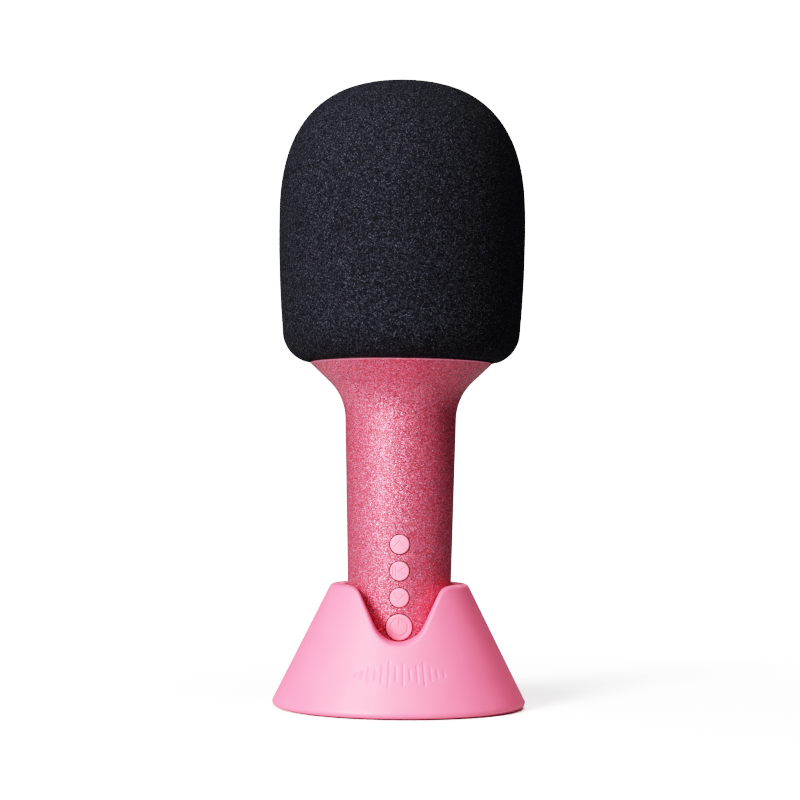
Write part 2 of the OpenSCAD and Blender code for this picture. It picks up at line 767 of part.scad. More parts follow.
// A round lead swept along a route that never runs along X.
module lead(route, r, sides = 8) {
    p = spline(route);
    n = len(p);
    tangent = [for (i = [0:n - 1]) let(d = p[min(i + 1, n - 1)] - p[max(i - 1, 0)]) d / norm(d)];
    side_a = [for (t = tangent) let(v = [1, 0, 0] - t * t[0]) v / norm(v)];
    side_b = [for (i = [0:n - 1]) cross(tangent[i], side_a[i])];
    points = [for (i = [0:n - 1], j = [0:sides - 1]) let(a = 360 * j / sides)
        p[i] + r * (cos(a) * side_a[i] + sin(a) * side_b[i])];
    skin = [for (i = [0:n - 2], j = [0:sides - 1])
        [i * sides + j, (i + 1) * sides + j, (i + 1) * sides + (j + 1) % sides, i * sides + (j + 1) % sides]];
    polyhedron(points, concat([[for (j = [0:sides - 1]) j]], skin,
        [[for (j = [sides - 1:-1:0]) (n - 1) * sides + j]]));
}

capsule_lead_r = 0.55;
supply_lead_r = 0.5;
capsule_route = [
    [0, 0, 188.9], [0, 0, 186], [0, 2.6, 182.5], [0, 7.2, 178], [0, 11.4, 164], [0, 16, 148], [0, 20.6, 132],
    [0, 21.2, 123], [0, 21, 118], [0, 20.9, 115.2], [0, 18.8, 112.2], [0, 17.5, 108.4], [0, 16.4, 103],
    [0, 16.2, 97.5], [0, 14.6, 94.3], [0, 9, 93.9], [0, -1, 93.8], [0, -5.2, 93.8], [0, -7.4, 91.9],
    [0, -7.4, 86],
    [0, -7.8, 80.1]
];
module capsule_lead() {
    color("gray") lead(capsule_route, capsule_lead_r);
}

speaker_lead_x = 5.2;
module speaker_leads() {
    color("firebrick") for (x = [-speaker_lead_x, speaker_lead_x]) lead([
        [x, 15.7, 109.2], [x, 15.9, 105], [x, 15.3, 98], [x, 12.4, 94.4], [x, 4, 93.8],
        [x, -5.2, 93.8], [x, -7.4, 91.9], [x, -7.4, 86], [x, -7.8, 80.1]
    ], supply_lead_r);
}

module battery_leads() {
    color("firebrick") lead([
        [lead_x, lead_tab_y, 90.12], [lead_x, lead_tab_y, 92.4], [2.3, -1.4, 93.8], [2.5, -5.2, 93.8],
        [2.8, -7.4, 91.9], [2.9, -8, 85.6]
    ], supply_lead_r);
    color("black") lead([
        [-lead_x, lead_tab_y, 24.1], [-lead_x, lead_tab_y, 21.2], [-2.4, -1.6, 19.2], [-3.4, -5.2, 18.9],
        [-4.4, -7.6, 21.4], [-4.8, -8.1, 26.9]
    ], supply_lead_r);
}

// ---- assembly ---------------------------------------------------------------------------------

stand_shell();
stand_foot_pad();
stand_base_plate();
stand_weight();
stand_base_screws();
barrel();
end_cap();
end_cap_screws();
chassis();
battery();
battery_tabs();
battery_leads();
main_board();
board_components();
board_screws();
switch_bodies();
charging_port();
speaker_basket();
speaker_yoke();
speaker_magnet();
speaker_spider();
speaker_surround();
speaker_gasket();
speaker_screws();
speaker_leads();
speaker_cone();
voice_coil();
head_collar();
capsule_bridge();
capsule_grommet();
mic_capsule();
capsule_lead();
grille_liner();
grille();
windscreen();
power_button();
volume_down_button();
play_button();
volume_up_button();
power_plunger();
volume_down_plunger();
play_plunger();
volume_up_plunger();
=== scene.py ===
"""Karaoke microphone in its table stand: the visual model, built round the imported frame.

The row frame is in metres: +Z up, the buttons face -Y, the foot pad rests on z = 0. The object's own
sizes are named in millimetres, and the studio's in metres.
"""
import math

import bpy
import numpy as np
from mathutils import Matrix, Vector, noise


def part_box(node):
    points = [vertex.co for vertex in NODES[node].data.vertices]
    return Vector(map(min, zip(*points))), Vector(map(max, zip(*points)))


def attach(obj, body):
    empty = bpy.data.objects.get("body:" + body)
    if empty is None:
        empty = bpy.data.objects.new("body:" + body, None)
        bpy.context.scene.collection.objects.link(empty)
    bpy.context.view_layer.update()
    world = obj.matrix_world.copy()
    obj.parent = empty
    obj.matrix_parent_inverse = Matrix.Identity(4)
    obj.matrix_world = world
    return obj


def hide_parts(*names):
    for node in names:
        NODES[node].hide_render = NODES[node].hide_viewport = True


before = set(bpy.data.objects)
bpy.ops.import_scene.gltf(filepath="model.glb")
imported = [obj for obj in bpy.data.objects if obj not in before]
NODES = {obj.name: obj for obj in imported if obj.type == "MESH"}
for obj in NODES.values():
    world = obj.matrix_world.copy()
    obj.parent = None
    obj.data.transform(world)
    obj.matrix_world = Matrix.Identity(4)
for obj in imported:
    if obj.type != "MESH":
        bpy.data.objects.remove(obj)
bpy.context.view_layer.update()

MM = 0.001
LIP_EDGE = 0.62  # height of the band on the handle's lip that gets a painted highlight


# ---- Meshes ----

def make_object(name, vertices, faces, material, body, smooth_angle):
    """A mesh object in the row frame that rides on a body, smooth but for edges over smooth_angle."""
    mesh = bpy.data.meshes.new(name)
    mesh.from_pydata([tuple(v) for v in vertices], [], [tuple(int(i) for i in f) for f in faces])
    mesh.validate()
    mesh.shade_smooth()
    mesh.set_sharp_from_angle(angle=math.radians(smooth_angle))
    mesh.materials.append(material)
    piece = bpy.data.objects.new(name, mesh)
    bpy.context.scene.collection.objects.link(piece)
    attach(piece, body)
    return piece


def grid_faces(rows, columns):
    """Quads of a rows x columns grid of vertices, whose last column joins the first."""
    row, column = np.meshgrid(np.arange(rows - 1), np.arange(columns), indexing="ij")
    after = (column + 1) % columns
    a, b = row * columns + column, row * columns + after
    return np.stack([a, b, b + columns, a + columns], -1).reshape(-1, 4)


def tube(path, radius, sides, closed=False):
    """Vertices and quads of a round wire along a path, with rings turned as little as possible."""
    path = np.asarray(path, float)
    count = len(path)
    if closed:
        tangent = np.roll(path, -1, 0) - np.roll(path, 1, 0)
    else:
        tangent = np.gradient(path, axis=0)
    tangent /= np.linalg.norm(tangent, axis=1)[:, None]
    helper = np.array([0.0, 0, 1]) if abs(tangent[0][2]) < 0.9 else np.array([1.0, 0, 0])
    across = np.cross(tangent, helper)
    weak = np.linalg.norm(across, axis=1) < 0.15
    across[weak] = np.cross(tangent[weak], [0.0, 1, 0])
    across /= np.linalg.norm(across, axis=1)[:, None]
    up = np.cross(tangent, across)
    turn = np.arange(sides) / sides * 2 * math.pi
    ring = across[:, None] * np.cos(turn)[None, :, None] + up[:, None] * np.sin(turn)[None, :, None]
    vertices = (path[:, None] + radius * ring).reshape(-1, 3)
    faces = grid_faces(count, sides)
    if closed:
        last = (count - 1) * sides
        side = np.arange(sides)
        after = (side + 1) % sides
        seam = np.stack([last + side, last + after, after, side], -1)
        faces = np.concatenate([faces, seam])
    return vertices, faces


def join_parts(parts):
    """One vertex list and one face list from several (vertices, faces) pairs."""
    vertices, faces, start = [], [], 0
    for points, quads in parts:
        vertices.append(np.asarray(points, float))
        faces.extend((np.asarray(quads) + start).tolist())
        start += len(points)
    return np.concatenate(vertices), faces


def resample(outline, count):
    """count + 1 points spaced evenly along a polyline."""
    outline = np.asarray(outline, float)
    step = np.linalg.norm(np.diff(outline, axis=0), axis=1)
    place = np.concatenate([[0], np.cumsum(step)])
    wanted = np.linspace(0, place[-1], count + 1)
    return np.stack([np.interp(wanted, place, outline[:, k]) for k in range(outline.shape[1])], -1)


def arc(centre, radius, start, end, count):
    """Points of a circle's arc in its own plane, angles in degrees."""
    turn = np.radians(np.linspace(start, end, count + 1))
    return np.stack([centre[0] + radius * np.cos(turn), centre[1] + radius * np.sin(turn)], -1)


# ---- Materials ----

class Shader:
    """A material or a world under construction. A socket given as an input is linked; the rest are set."""

    def __init__(self, name, kind=bpy.data.materials):
        self.data = kind.new(name)
        self.data.use_nodes = True
        self.tree = self.data.node_tree
        self.tree.nodes.clear()
        self.place = self.add("ShaderNodeTexCoord").outputs["Object"]

    def add(self, kind, inputs=None, **settings):
        """A new node with its inputs set or linked, and its own settings."""
        node = self.tree.nodes.new(kind)
        for key, value in settings.items():
            setattr(node, key, value)
        for key, value in (inputs or {}).items():
            if isinstance(value, bpy.types.NodeSocket):
                self.tree.links.new(value, node.inputs[key])
            else:
                node.inputs[key].default_value = value
        return node

    def noise(self, size, detail=2.0, roughness=0.5):
        """Smooth noise from 0 to 1 whose features are size millimetres across."""
        settings = {"Vector": self.place, "Scale": 1 / (size * MM), "Detail": detail, "Roughness": roughness}
        return self.add("ShaderNodeTexNoise", settings).outputs["Fac"]

    def cells(self, size):
        """A Voronoi pattern of cells size millimetres across."""
        return self.add("ShaderNodeTexVoronoi", {"Vector": self.place, "Scale": 1 / (size * MM)})

    def math(self, operation, a, b=0.0, clamp=False):
        return self.add("ShaderNodeMath", {0: a, 1: b}, operation=operation, use_clamp=clamp).outputs[0]

    def vector_math(self, operation, a, b=(0, 0, 0)):
        return self.add("ShaderNodeVectorMath", {0: a, 1: b}, operation=operation).outputs[0]

    def spread(self, value, low, high, to_low=0.0, to_high=1.0):
        """value taken from the range low..high to the range to_low..to_high, and kept in it."""
        inputs = {"Value": value, "From Min": low, "From Max": high, "To Min": to_low, "To Max": to_high}
        return self.add("ShaderNodeMapRange", inputs).outputs["Result"]

    def axis(self, name):
        """One coordinate of the surface point, in millimetres."""
        return self.math("MULTIPLY", self.add("ShaderNodeSeparateXYZ", {0: self.place}).outputs[name], 1 / MM)

    def radius(self):
        """Distance from the microphone's axis, in millimetres."""
        flat = self.vector_math("MULTIPLY", self.place, (1 / MM, 1 / MM, 0))
        return self.add("ShaderNodeVectorMath", {0: flat}, operation="LENGTH").outputs["Value"]

    def mix(self, factor, a, b):
        """Colours a and b mixed by factor."""
        inputs = {0: factor, 6: solid(a), 7: solid(b)}
        return self.add("ShaderNodeMix", inputs, data_type="RGBA").outputs[2]

    def bump(self, height, depth, strength, normal=None):
        """A bumped normal, depth millimetres from height 0 to height 1."""
        inputs = {"Height": height, "Distance": depth * MM, "Strength": strength}
        if normal is not None:
            inputs["Normal"] = normal
        return self.add("ShaderNodeBump", inputs).outputs["Normal"]

    def surface(self, color, roughness, metallic=0.0, normal=None, **more):
        """Finishes the material with a Principled shader."""
        inputs = {"Base Color": solid(color), "Roughness": roughness, "Metallic": metallic}
        inputs.update({key.replace("_", " "): value for key, value in more.items()})
        if normal is not None:
            inputs["Normal"] = normal
        shader = self.add("ShaderNodeBsdfPrincipled", inputs)
        self.add("ShaderNodeOutputMaterial", {"Surface": shader.outputs["BSDF"]})
        return self.data


def solid(color):
    """A colour as a socket takes it: sockets pass through, and three numbers get an alpha of 1."""
    return color if isinstance(color, bpy.types.NodeSocket) else (*color[:3], 1.0)


STRUT_POWER = 3.0            # how much of the foam is dark between its struts
STRUT_SPREAD = (0.75, 1.25)  # how uneven the struts are from place to place
SPECK_FROM = 0.972           # the rest, up to 1, are specks with a painted glint
GLINT_GAIN = 2.6


def foam_material(name, dark, light, pore):
    """Open-cell foam with pores of a given size: struts of uneven brightness over dark pits, and specks with
    a painted glint.
    """
    s = Shader(name)
    coarse = s.add("ShaderNodeSeparateColor", {0: s.cells(pore * 1.5).outputs["Color"]})
    fine = s.add("ShaderNodeSeparateColor", {0: s.cells(pore).outputs["Color"]})
    tiny = s.add("ShaderNodeSeparateColor", {0: s.cells(pore * 0.7).outputs["Color"]})
    struts = s.math("POWER", fine.outputs[0], STRUT_POWER)
    struts = s.math("MULTIPLY", struts, s.spread(coarse.outputs[1], 0, 1, *STRUT_SPREAD))
    color = s.mix(s.math("MULTIPLY", struts, 1.0, clamp=True), dark, light)
    clumps = s.spread(s.noise(3.0), 0.3, 0.7, -0.012, 0.012)
    # painted glint: a few specks are made several times lighter, standing in for struts that catch the light
    painted_glint = s.math("GREATER_THAN", s.math("ADD", tiny.outputs[2], clumps), SPECK_FROM)
    color = s.mix(painted_glint, color, tuple(GLINT_GAIN * c for c in light))
    normal = s.bump(s.noise(pore * 1.3, 2.0, 0.6), 0.18, 1.0)
    return s.surface(color, 0.88, normal=normal, Specular_IOR_Level=0.12)


FLAKE, FINE_FLAKE = 0.23, 0.17      # sizes of the flakes
FLAKE_TILT, FINE_TILT = 0.46, 0.50  # how far they lean out of the surface
FLAKE_DEEP, FLAKE_BRIGHT = (0.25, 0.019, 0.038), (0.92, 0.120, 0.180)
FLAKE_DARK, FLAKE_PALE = (0.12, 0.010, 0.036), (0.84, 0.46, 0.68)
DARK_SHARE, DARK_MIX = 0.30, 0.85   # how many flakes are dark, and how much
PALE_FROM, PALE_MIX = 0.87, 0.52    # the flakes above this are pale, and how much
# painted highlight: a paler tone on the lip's face, standing in for the light its edge catches
LIP_HIGHLIGHT_TONE, LIP_HIGHLIGHT_MIX = (1.0, 0.36, 0.52), 0.45


def glitter_material():
    """Pink paint full of fine metal flakes, each tilted its own way, under a soft clear coat, with a painted
    highlight on the lip.
    """
    s = Shader("glitter_paint")
    flakes, fine = s.cells(FLAKE), s.cells(FINE_FLAKE)
    tilt = s.vector_math("SUBTRACT", flakes.outputs["Color"], (0.5, 0.5, 0.5))
    fine_tilt = s.vector_math("SUBTRACT", fine.outputs["Color"], (0.5, 0.5, 0.5))
    lean = s.vector_math("ADD", s.vector_math("MULTIPLY", tilt, (FLAKE_TILT,) * 3),
                         s.vector_math("MULTIPLY", fine_tilt, (FINE_TILT,) * 3))
    normal = s.add("ShaderNodeNewGeometry").outputs["Normal"]
    normal = s.vector_math("NORMALIZE", s.vector_math("ADD", normal, lean))
    pick = s.add("ShaderNodeSeparateColor", {0: flakes.outputs["Color"]})
    fine_pick = s.add("ShaderNodeSeparateColor", {0: fine.outputs["Color"]})
    shade = s.mix(pick.outputs[1], FLAKE_DEEP, FLAKE_BRIGHT)
    dark = s.math("LESS_THAN", fine_pick.outputs[1], DARK_SHARE)
    shade = s.mix(s.math("MULTIPLY", dark, DARK_MIX), shade, FLAKE_DARK)
    pale = s.math("GREATER_THAN", fine_pick.outputs[2], PALE_FROM)
    shade = s.mix(s.math("MULTIPLY", pale, PALE_MIX), shade, FLAKE_PALE)
    # painted highlight: the top of the handle is mixed towards a paler tone along the lip
    lip_highlight = s.math("GREATER_THAN", s.axis("Z"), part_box("barrel")[1].z / MM - LIP_EDGE)
    shade = s.mix(s.math("MULTIPLY", lip_highlight, LIP_HIGHLIGHT_MIX), shade, LIP_HIGHLIGHT_TONE)
    rough = s.spread(pick.outputs[0], 0.0, 1.0, 0.36, 0.54)
    return s.surface(shade, rough, 0.42, normal, Specular_IOR_Level=0.3,
                     Coat_Weight=0.42, Coat_Roughness=0.24, Coat_IOR=1.6)


def stand_material():
    """Soft-touch silicone: matte pink with a bare trace of mottling and fine moulding texture."""
    s = Shader("stand_silicone")
    mottle = s.noise(9.0, 3.0)
    dust = s.noise(0.5)
    color = s.mix(s.spread(mottle, 0.3, 0.7), (0.90, 0.136, 0.243), (0.93, 0.149, 0.260))
    normal = s.bump(dust, 0.012, 0.6)
    rough = s.spread(dust, 0.2, 0.8, 0.48, 0.56)
    return s.surface(color, rough, normal=normal, Specular_IOR_Level=0.7,
                     Sheen_Weight=0.03, Sheen_Roughness=0.45, Sheen_Tint=(1.0, 0.80, 0.86, 1.0))


def plain_material(name, color, roughness, metallic=0.0, grain=0.4, depth=0.01, variation=0.12, **more):
    """A moulded or rolled surface: slight colour variation, fine grain and uneven roughness."""
    s = Shader(name)
    low, high = 1 - variation, 1 + variation
    wide = s.spread(s.noise(7.0, 3.0), 0.3, 0.7)
    shade = s.mix(wide, tuple(low * c for c in color), tuple(min(1.0, high * c) for c in color))
    fine = s.noise(grain)
    rough = s.spread(fine, 0.25, 0.75, max(0.02, roughness - 0.06), roughness + 0.06)
    return s.surface(shade, rough, metallic, s.bump(fine, depth, 0.8), **more)


def turned_metal(name, color, roughness, line=0.12):
    """Turned or rolled metal: fine lines round the microphone's axis."""
    s = Shader(name)
    turned = s.add("ShaderNodeCombineXYZ", {0: s.radius(), 1: s.axis("Z")}).outputs[0]
    inputs = {"Vector": turned, "Scale": 1 / line, "Detail": 2.0}
    lines = s.add("ShaderNodeTexNoise", inputs).outputs["Fac"]
    shade = s.mix(s.spread(lines, 0.3, 0.7), tuple(0.86 * c for c in color), color)
    rough = s.spread(lines, 0.2, 0.8, roughness - 0.07, roughness + 0.08)
    return s.surface(shade, rough, 1.0, s.bump(lines, 0.008, 0.6))


CELL_RING_T = 1.1  # insulating ring at the cell's upper end
CELL_END_R = 2.9   # radius of the terminal inside it


def battery_material():
    """Shrink wrap on the cell, with a pale insulating ring at its upper end."""
    s = Shader("battery_wrap")
    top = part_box("battery")[1].z / MM
    ring = s.math("GREATER_THAN", s.axis("Z"), top - CELL_RING_T)
    from_axis = s.vector_math("SUBTRACT", s.place, (0, CELL_Y, 0))
    from_axis = s.vector_math("MULTIPLY", from_axis, (1 / MM, 1 / MM, 0))
    from_axis = s.add("ShaderNodeVectorMath", {0: from_axis}, operation="LENGTH").outputs["Value"]
    inner = s.math("LESS_THAN", from_axis, CELL_END_R)
    wrinkle = s.noise(2.2)
    shade = s.mix(s.spread(wrinkle, 0.35, 0.65), (0.035, 0.17, 0.36), (0.05, 0.21, 0.43))
    shade = s.mix(ring, shade, (0.75, 0.75, 0.72))
    shade = s.mix(s.math("MULTIPLY", ring, inner), shade, (0.62, 0.61, 0.59))
    return s.surface(shade, s.spread(wrinkle, 0.3, 0.7, 0.22, 0.32), normal=s.bump(wrinkle, 0.03, 0.5))


def board_material():
    """Green solder mask with copper tracks showing through, and tinned pads in rows."""
    s = Shader("circuit_board")
    across, up = s.axis("X"), s.axis("Z")
    grid = s.add("ShaderNodeCombineXYZ", {0: across, 1: up}).outputs[0]
    brick = s.add("ShaderNodeTexBrick", {
        "Vector": grid, "Color1": (0, 0, 0, 1), "Color2": (0.25, 0.25, 0.25, 1), "Mortar": (1, 1, 1, 1),
        "Scale": 0.42, "Mortar Size": 0.09, "Brick Width": 1.7, "Row Height": 0.8})
    tracks = s.spread(brick.outputs["Color"], 0.3, 0.8)
    pads = s.add("ShaderNodeTexVoronoi", {"Vector": grid, "Scale": 0.55, "Randomness": 0.0})
    dot = s.math("LESS_THAN", pads.outputs["Distance"], 0.15)
    zone = s.math("GREATER_THAN", s.noise(9.0, 0.0), 0.56)
    dot = s.math("MULTIPLY", dot, zone)
    shade = s.mix(tracks, (0.010, 0.085, 0.040), (0.018, 0.145, 0.065))
    shade = s.mix(dot, shade, (0.72, 0.68, 0.56))
    return s.surface(shade, s.mix(dot, (0.34,) * 3, (0.22,) * 3), dot, s.bump(tracks, 0.02, 0.6))


def chip_material():
    """Moulded packages and passive parts: each block has its own dark, tan or silvery tone."""
    s = Shader("components")
    pick = s.add("ShaderNodeNewGeometry").outputs["Random Per Island"]
    ramp = s.add("ShaderNodeValToRGB", {0: pick})
    ramp.color_ramp.interpolation = "CONSTANT"
    stops = [(0.0, (0.020, 0.020, 0.022)), (0.55, (0.30, 0.20, 0.11)), (0.72, (0.03, 0.03, 0.035)),
             (0.88, (0.50, 0.50, 0.50))]
    for start, _ in stops[1:]:
        ramp.color_ramp.elements.new(start)
    ramp.color_ramp.elements.remove(ramp.color_ramp.elements[-1])
    for element, (start, color) in zip(ramp.color_ramp.elements, stops):
        element.position = start
        element.color = solid(color)
    grain = s.noise(0.35)
    rough = s.spread(grain, 0.3, 0.7, 0.38, 0.55)
    return s.surface(ramp.outputs["Color"], rough, normal=s.bump(grain, 0.012, 0.7))


def lead_material(name, left, right):
    """Insulation, with one colour on the left lead and another on the right one."""
    s = Shader(name)
    side = s.math("GREATER_THAN", s.axis("X"), 0.0)
    shade = s.mix(side, left, right)
    scuff = s.noise(1.6)
    return s.surface(shade, s.spread(scuff, 0.3, 0.7, 0.36, 0.50), normal=s.bump(scuff, 0.02, 0.5))


def ringed_material(name, color, pitch, depth, roughness):
    """Cloth or paper pressed into rings round the axis, with fibres."""
    s = Shader(name)
    rings = s.math("SINE", s.math("MULTIPLY", s.radius(), 2 * math.pi / pitch))
    fibres = s.noise(0.6, 3.0, 0.7)
    shade = s.mix(s.spread(fibres, 0.3, 0.7), tuple(0.7 * c for c in color), tuple(1.25 * c for c in color))
    normal = s.bump(fibres, 0.03, 0.6, s.bump(rings, depth, 0.8))
    return s.surface(shade, roughness, normal=normal)


COIL_PITCH = 0.22  # of the voice coil's turns


def coil_material():
    """Enamelled copper wire wound in fine turns."""
    s = Shader("voice_coil_copper")
    turns = s.math("SINE", s.math("MULTIPLY", s.axis("Z"), 2 * math.pi / COIL_PITCH))
    shade = s.mix(s.spread(turns, -1, 1), (0.28, 0.09, 0.03), (0.80, 0.33, 0.14))
    return s.surface(shade, 0.28, 0.9, s.bump(turns, 0.05, 0.7))


FELT_T = 0.5  # felt on the capsule's front


def capsule_material():
    """The capsule's bright can, and the black felt on its front."""
    s = Shader("capsule_can")
    felt = s.math("GREATER_THAN", s.axis("Z"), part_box("mic_capsule")[1].z / MM - FELT_T)
    fine = s.noise(0.5)
    shade = s.mix(felt, (0.70, 0.70, 0.71), (0.02, 0.02, 0.02))
    rough = s.spread(fine, 0.3, 0.7, 0.27, 0.39)
    return s.surface(shade, rough, s.math("SUBTRACT", 1.0, felt), s.bump(fine, 0.01, 0.6))


TONGUE = (3.35, 0.4)  # half width and half height of the port's tongue
CONTACT_FROM = 0.33   # the gold contacts lie outside this height
CONTACT_PITCH = 0.5


def port_material():
    """Plated receptacle shell, with its black tongue and gold contacts."""
    s = Shader("charging_port_metal")
    across = s.math("ABSOLUTE", s.axis("X"))
    depth = s.math("ABSOLUTE", s.math("SUBTRACT", s.axis("Y"), PORT_Y / MM))
    tongue = s.math("MULTIPLY", s.math("LESS_THAN", across, TONGUE[0]), s.math("LESS_THAN", depth, TONGUE[1]))
    wave = s.math("SINE", s.math("MULTIPLY", s.axis("X"), 2 * math.pi / CONTACT_PITCH))
    contact = s.math("GREATER_THAN", wave, 0.2)
    outside = s.math("GREATER_THAN", depth, CONTACT_FROM)
    gold = s.math("MULTIPLY", tongue, s.math("MULTIPLY", contact, outside))
    shade = s.mix(tongue, (0.74, 0.74, 0.75), (0.02, 0.02, 0.022))
    shade = s.mix(gold, shade, (0.85, 0.60, 0.22))
    metal = s.math("SUBTRACT", 1.0, s.math("SUBTRACT", tongue, gold))
    grain = s.noise(0.4)
    return s.surface(shade, s.spread(grain, 0.3, 0.7, 0.20, 0.32), metal, s.bump(grain, 0.006, 0.5))


# ---- Sizes taken from the frame ----

CELL_Y = sum(c.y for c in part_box("battery")) / 2
PORT_Y = sum(c.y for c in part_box("charging_port")) / 2
foam_low, foam_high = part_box("windscreen")
shell_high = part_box("stand_shell")[1]
grille_low, grille_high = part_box("grille")

MATERIALS = {
    "foam": foam_material("windscreen_foam", (0.0012, 0.0012, 0.0026), (0.0232, 0.0232, 0.0322), 0.32),
    "liner": foam_material("liner_foam", (0.002, 0.002, 0.003), (0.060, 0.060, 0.068), 0.8),
    "glitter": glitter_material(),
    "stand": stand_material(),
    "button": plain_material("button_silicone", (0.94, 0.205, 0.305), 0.46, grain=0.5, depth=0.006,
                             variation=0.015, Specular_IOR_Level=0.45, Sheen_Weight=0.2, Sheen_Roughness=0.4),
    # painted shade: the skirt is the cap's own silicone, darkened to stand in for the shadow in the gap round
    # each cap
    "gap_painted_shade": plain_material("button_gap_painted_shade", (0.16, 0.010, 0.030), 0.6, grain=0.5),
    "cap": plain_material("end_cap_pink", (0.72, 0.15, 0.25), 0.42, grain=0.5),
    "pad": plain_material("foot_pad_eva", (0.018, 0.018, 0.02), 0.82, grain=0.8, depth=0.08),
    "black": plain_material("black_plastic", (0.022, 0.022, 0.024), 0.5, grain=0.5, depth=0.02),
    "white": plain_material("natural_plastic", (0.62, 0.60, 0.55), 0.45, grain=0.6),
    "paint": plain_material("black_painted_steel", (0.03, 0.03, 0.033), 0.36, grain=0.7, depth=0.015),
    "zinc": turned_metal("zinc_plated_steel", (0.66, 0.65, 0.60), 0.30),
    "screw": turned_metal("screw_steel", (0.62, 0.62, 0.64), 0.26),
    "nickel": plain_material("nickel_strip", (0.68, 0.66, 0.62), 0.26, 1.0, grain=0.3),
    "ferrite": plain_material("ferrite", (0.05, 0.05, 0.055), 0.62, 0.2,
                              grain=0.35, depth=0.03, variation=0.3),
    "rubber": plain_material("black_rubber", (0.018, 0.018, 0.019), 0.58, grain=0.6),
    "plunger": plain_material("plunger_plastic", (0.70, 0.69, 0.66), 0.4),
    "battery": battery_material(),
    "board": board_material(),
    "chips": chip_material(),
    "leads": lead_material("supply_leads", (0.015, 0.015, 0.016), (0.42, 0.012, 0.012)),
    "speaker_leads": lead_material("speaker_leads", (0.02, 0.06, 0.30), (0.55, 0.42, 0.03)),
    "capsule_lead": plain_material("shielded_lead", (0.16, 0.16, 0.17), 0.45, grain=0.5),
    "spider": ringed_material("spider_cloth", (0.52, 0.33, 0.10), 1.1, 0.25, 0.7),
    "cone": ringed_material("cone_pulp", (0.032, 0.032, 0.036), 3.2, 0.02, 0.66),
    "coil": coil_material(),
    "port": port_material(),
    "capsule": capsule_material(),
    "wire": plain_material("grille_wire", (0.55, 0.55, 0.57), 0.22, 1.0, grain=0.6, depth=0.004),
}

CAD_LOOKS = {
    "barrel": "glitter", "end_cap": "cap", "end_cap_screws": "screw", "stand_foot_pad": "pad",
    "stand_base_plate": "black", "stand_weight": "zinc", "stand_base_screws": "screw", "chassis": "white",
    "battery": "battery", "battery_tabs": "nickel", "battery_leads": "leads", "main_board": "board",
    "board_components": "chips", "board_screws": "screw", "switch_bodies": "black", "charging_port": "port",
    "speaker_basket": "paint", "speaker_yoke": "zinc", "speaker_magnet": "ferrite",
    "speaker_spider": "spider", "speaker_surround": "rubber", "speaker_gasket": "rubber",
    "speaker_screws": "screw", "speaker_leads": "speaker_leads", "speaker_cone": "cone",
    "voice_coil": "coil", "head_collar": "black", "capsule_bridge": "black", "capsule_grommet": "rubber",
    "mic_capsule": "capsule", "capsule_lead": "capsule_lead", "grille_liner": "liner",
    "power_plunger": "plunger", "volume_down_plunger": "plunger", "play_plunger": "plunger",
    "volume_up_plunger": "plunger",
}


def dress_cad_nodes():
    """Gives every CAD node that stays its material."""
    for node, look in CAD_LOOKS.items():
        piece = NODES[node]
        piece.data.materials.clear()
        piece.data.materials.append(MATERIALS[look])


# ---- Foam windscreen ----

FOAM_GIRTH_Z = 168.4      # height of the widest girth
FOAM_LOW = (41.7, 131.2)  # radius and height at the top of the lower rounding
FOAM_EDGE = (10.8, 11.2)  # half axes of the lower rounding
DOME_POWER = 2.57         # 2 is an ellipse, and more is squarer
FOAM_EDGE_TURN = -76      # angle at which the lower rounding ends, in degrees
FOAM_BORE_R = 32.0
FOAM_BORE_TOP = 208.4
FOAM_SQUARES = 118        # squares along each edge of the cube that the foam's grid is made from
FOAM_OUTSIDE = 0.74       # share of the grid that the outside gets
FOAM_CROWN_Z = 200.0      # above this the grain stands straight up
GRAIN_DEPTH = 0.11
GRAIN_SIZE, PIT_SIZE, WAVE_SIZE = 0.95, 1.15, 9.0
GRAIN_SHARE, PIT_SHARE, WAVE_SHARE = 0.55, 0.9, 0.35
PIT_MEAN = 0.45


def dome(radius, base, top, count=60):
    """Superelliptic dome from its base to its apex."""
    turn = np.linspace(0, math.pi / 2, count)
    power = 2 / DOME_POWER
    return np.stack([radius * np.cos(turn).clip(0) ** power, base + (top - base) * np.sin(turn) ** power], -1)


def foam_outline():
    """Outline of the foam from its apex to the hem, and from the hem to the hollow's apex."""
    girth = foam_high.x / MM
    top, hem = foam_high.z / MM, foam_low.z / MM
    rise = np.linspace(1, 0, 20)[1:]
    side = np.stack([FOAM_LOW[0] + (girth - FOAM_LOW[0]) * (1 - (1 - rise) ** 2),
                     FOAM_LOW[1] + (FOAM_GIRTH_Z - FOAM_LOW[1]) * rise], -1)
    turn = np.radians(np.linspace(0, FOAM_EDGE_TURN, 20)[1:])
    corner = np.stack([FOAM_LOW[0] - FOAM_EDGE[0] * (1 - np.cos(turn)),
                       FOAM_LOW[1] + FOAM_EDGE[1] * np.sin(turn)], -1)
    corner = corner[corner[:, 1] > hem + 0.1]
    outer = np.concatenate([dome(girth, FOAM_GIRTH_Z, top)[::-1], side, corner, [[FOAM_BORE_R + 0.5, hem]]])
    inner = np.concatenate([[[FOAM_BORE_R, hem + 0.5]], dome(FOAM_BORE_R, FOAM_GIRTH_Z, FOAM_BORE_TOP)])
    return outer, inner


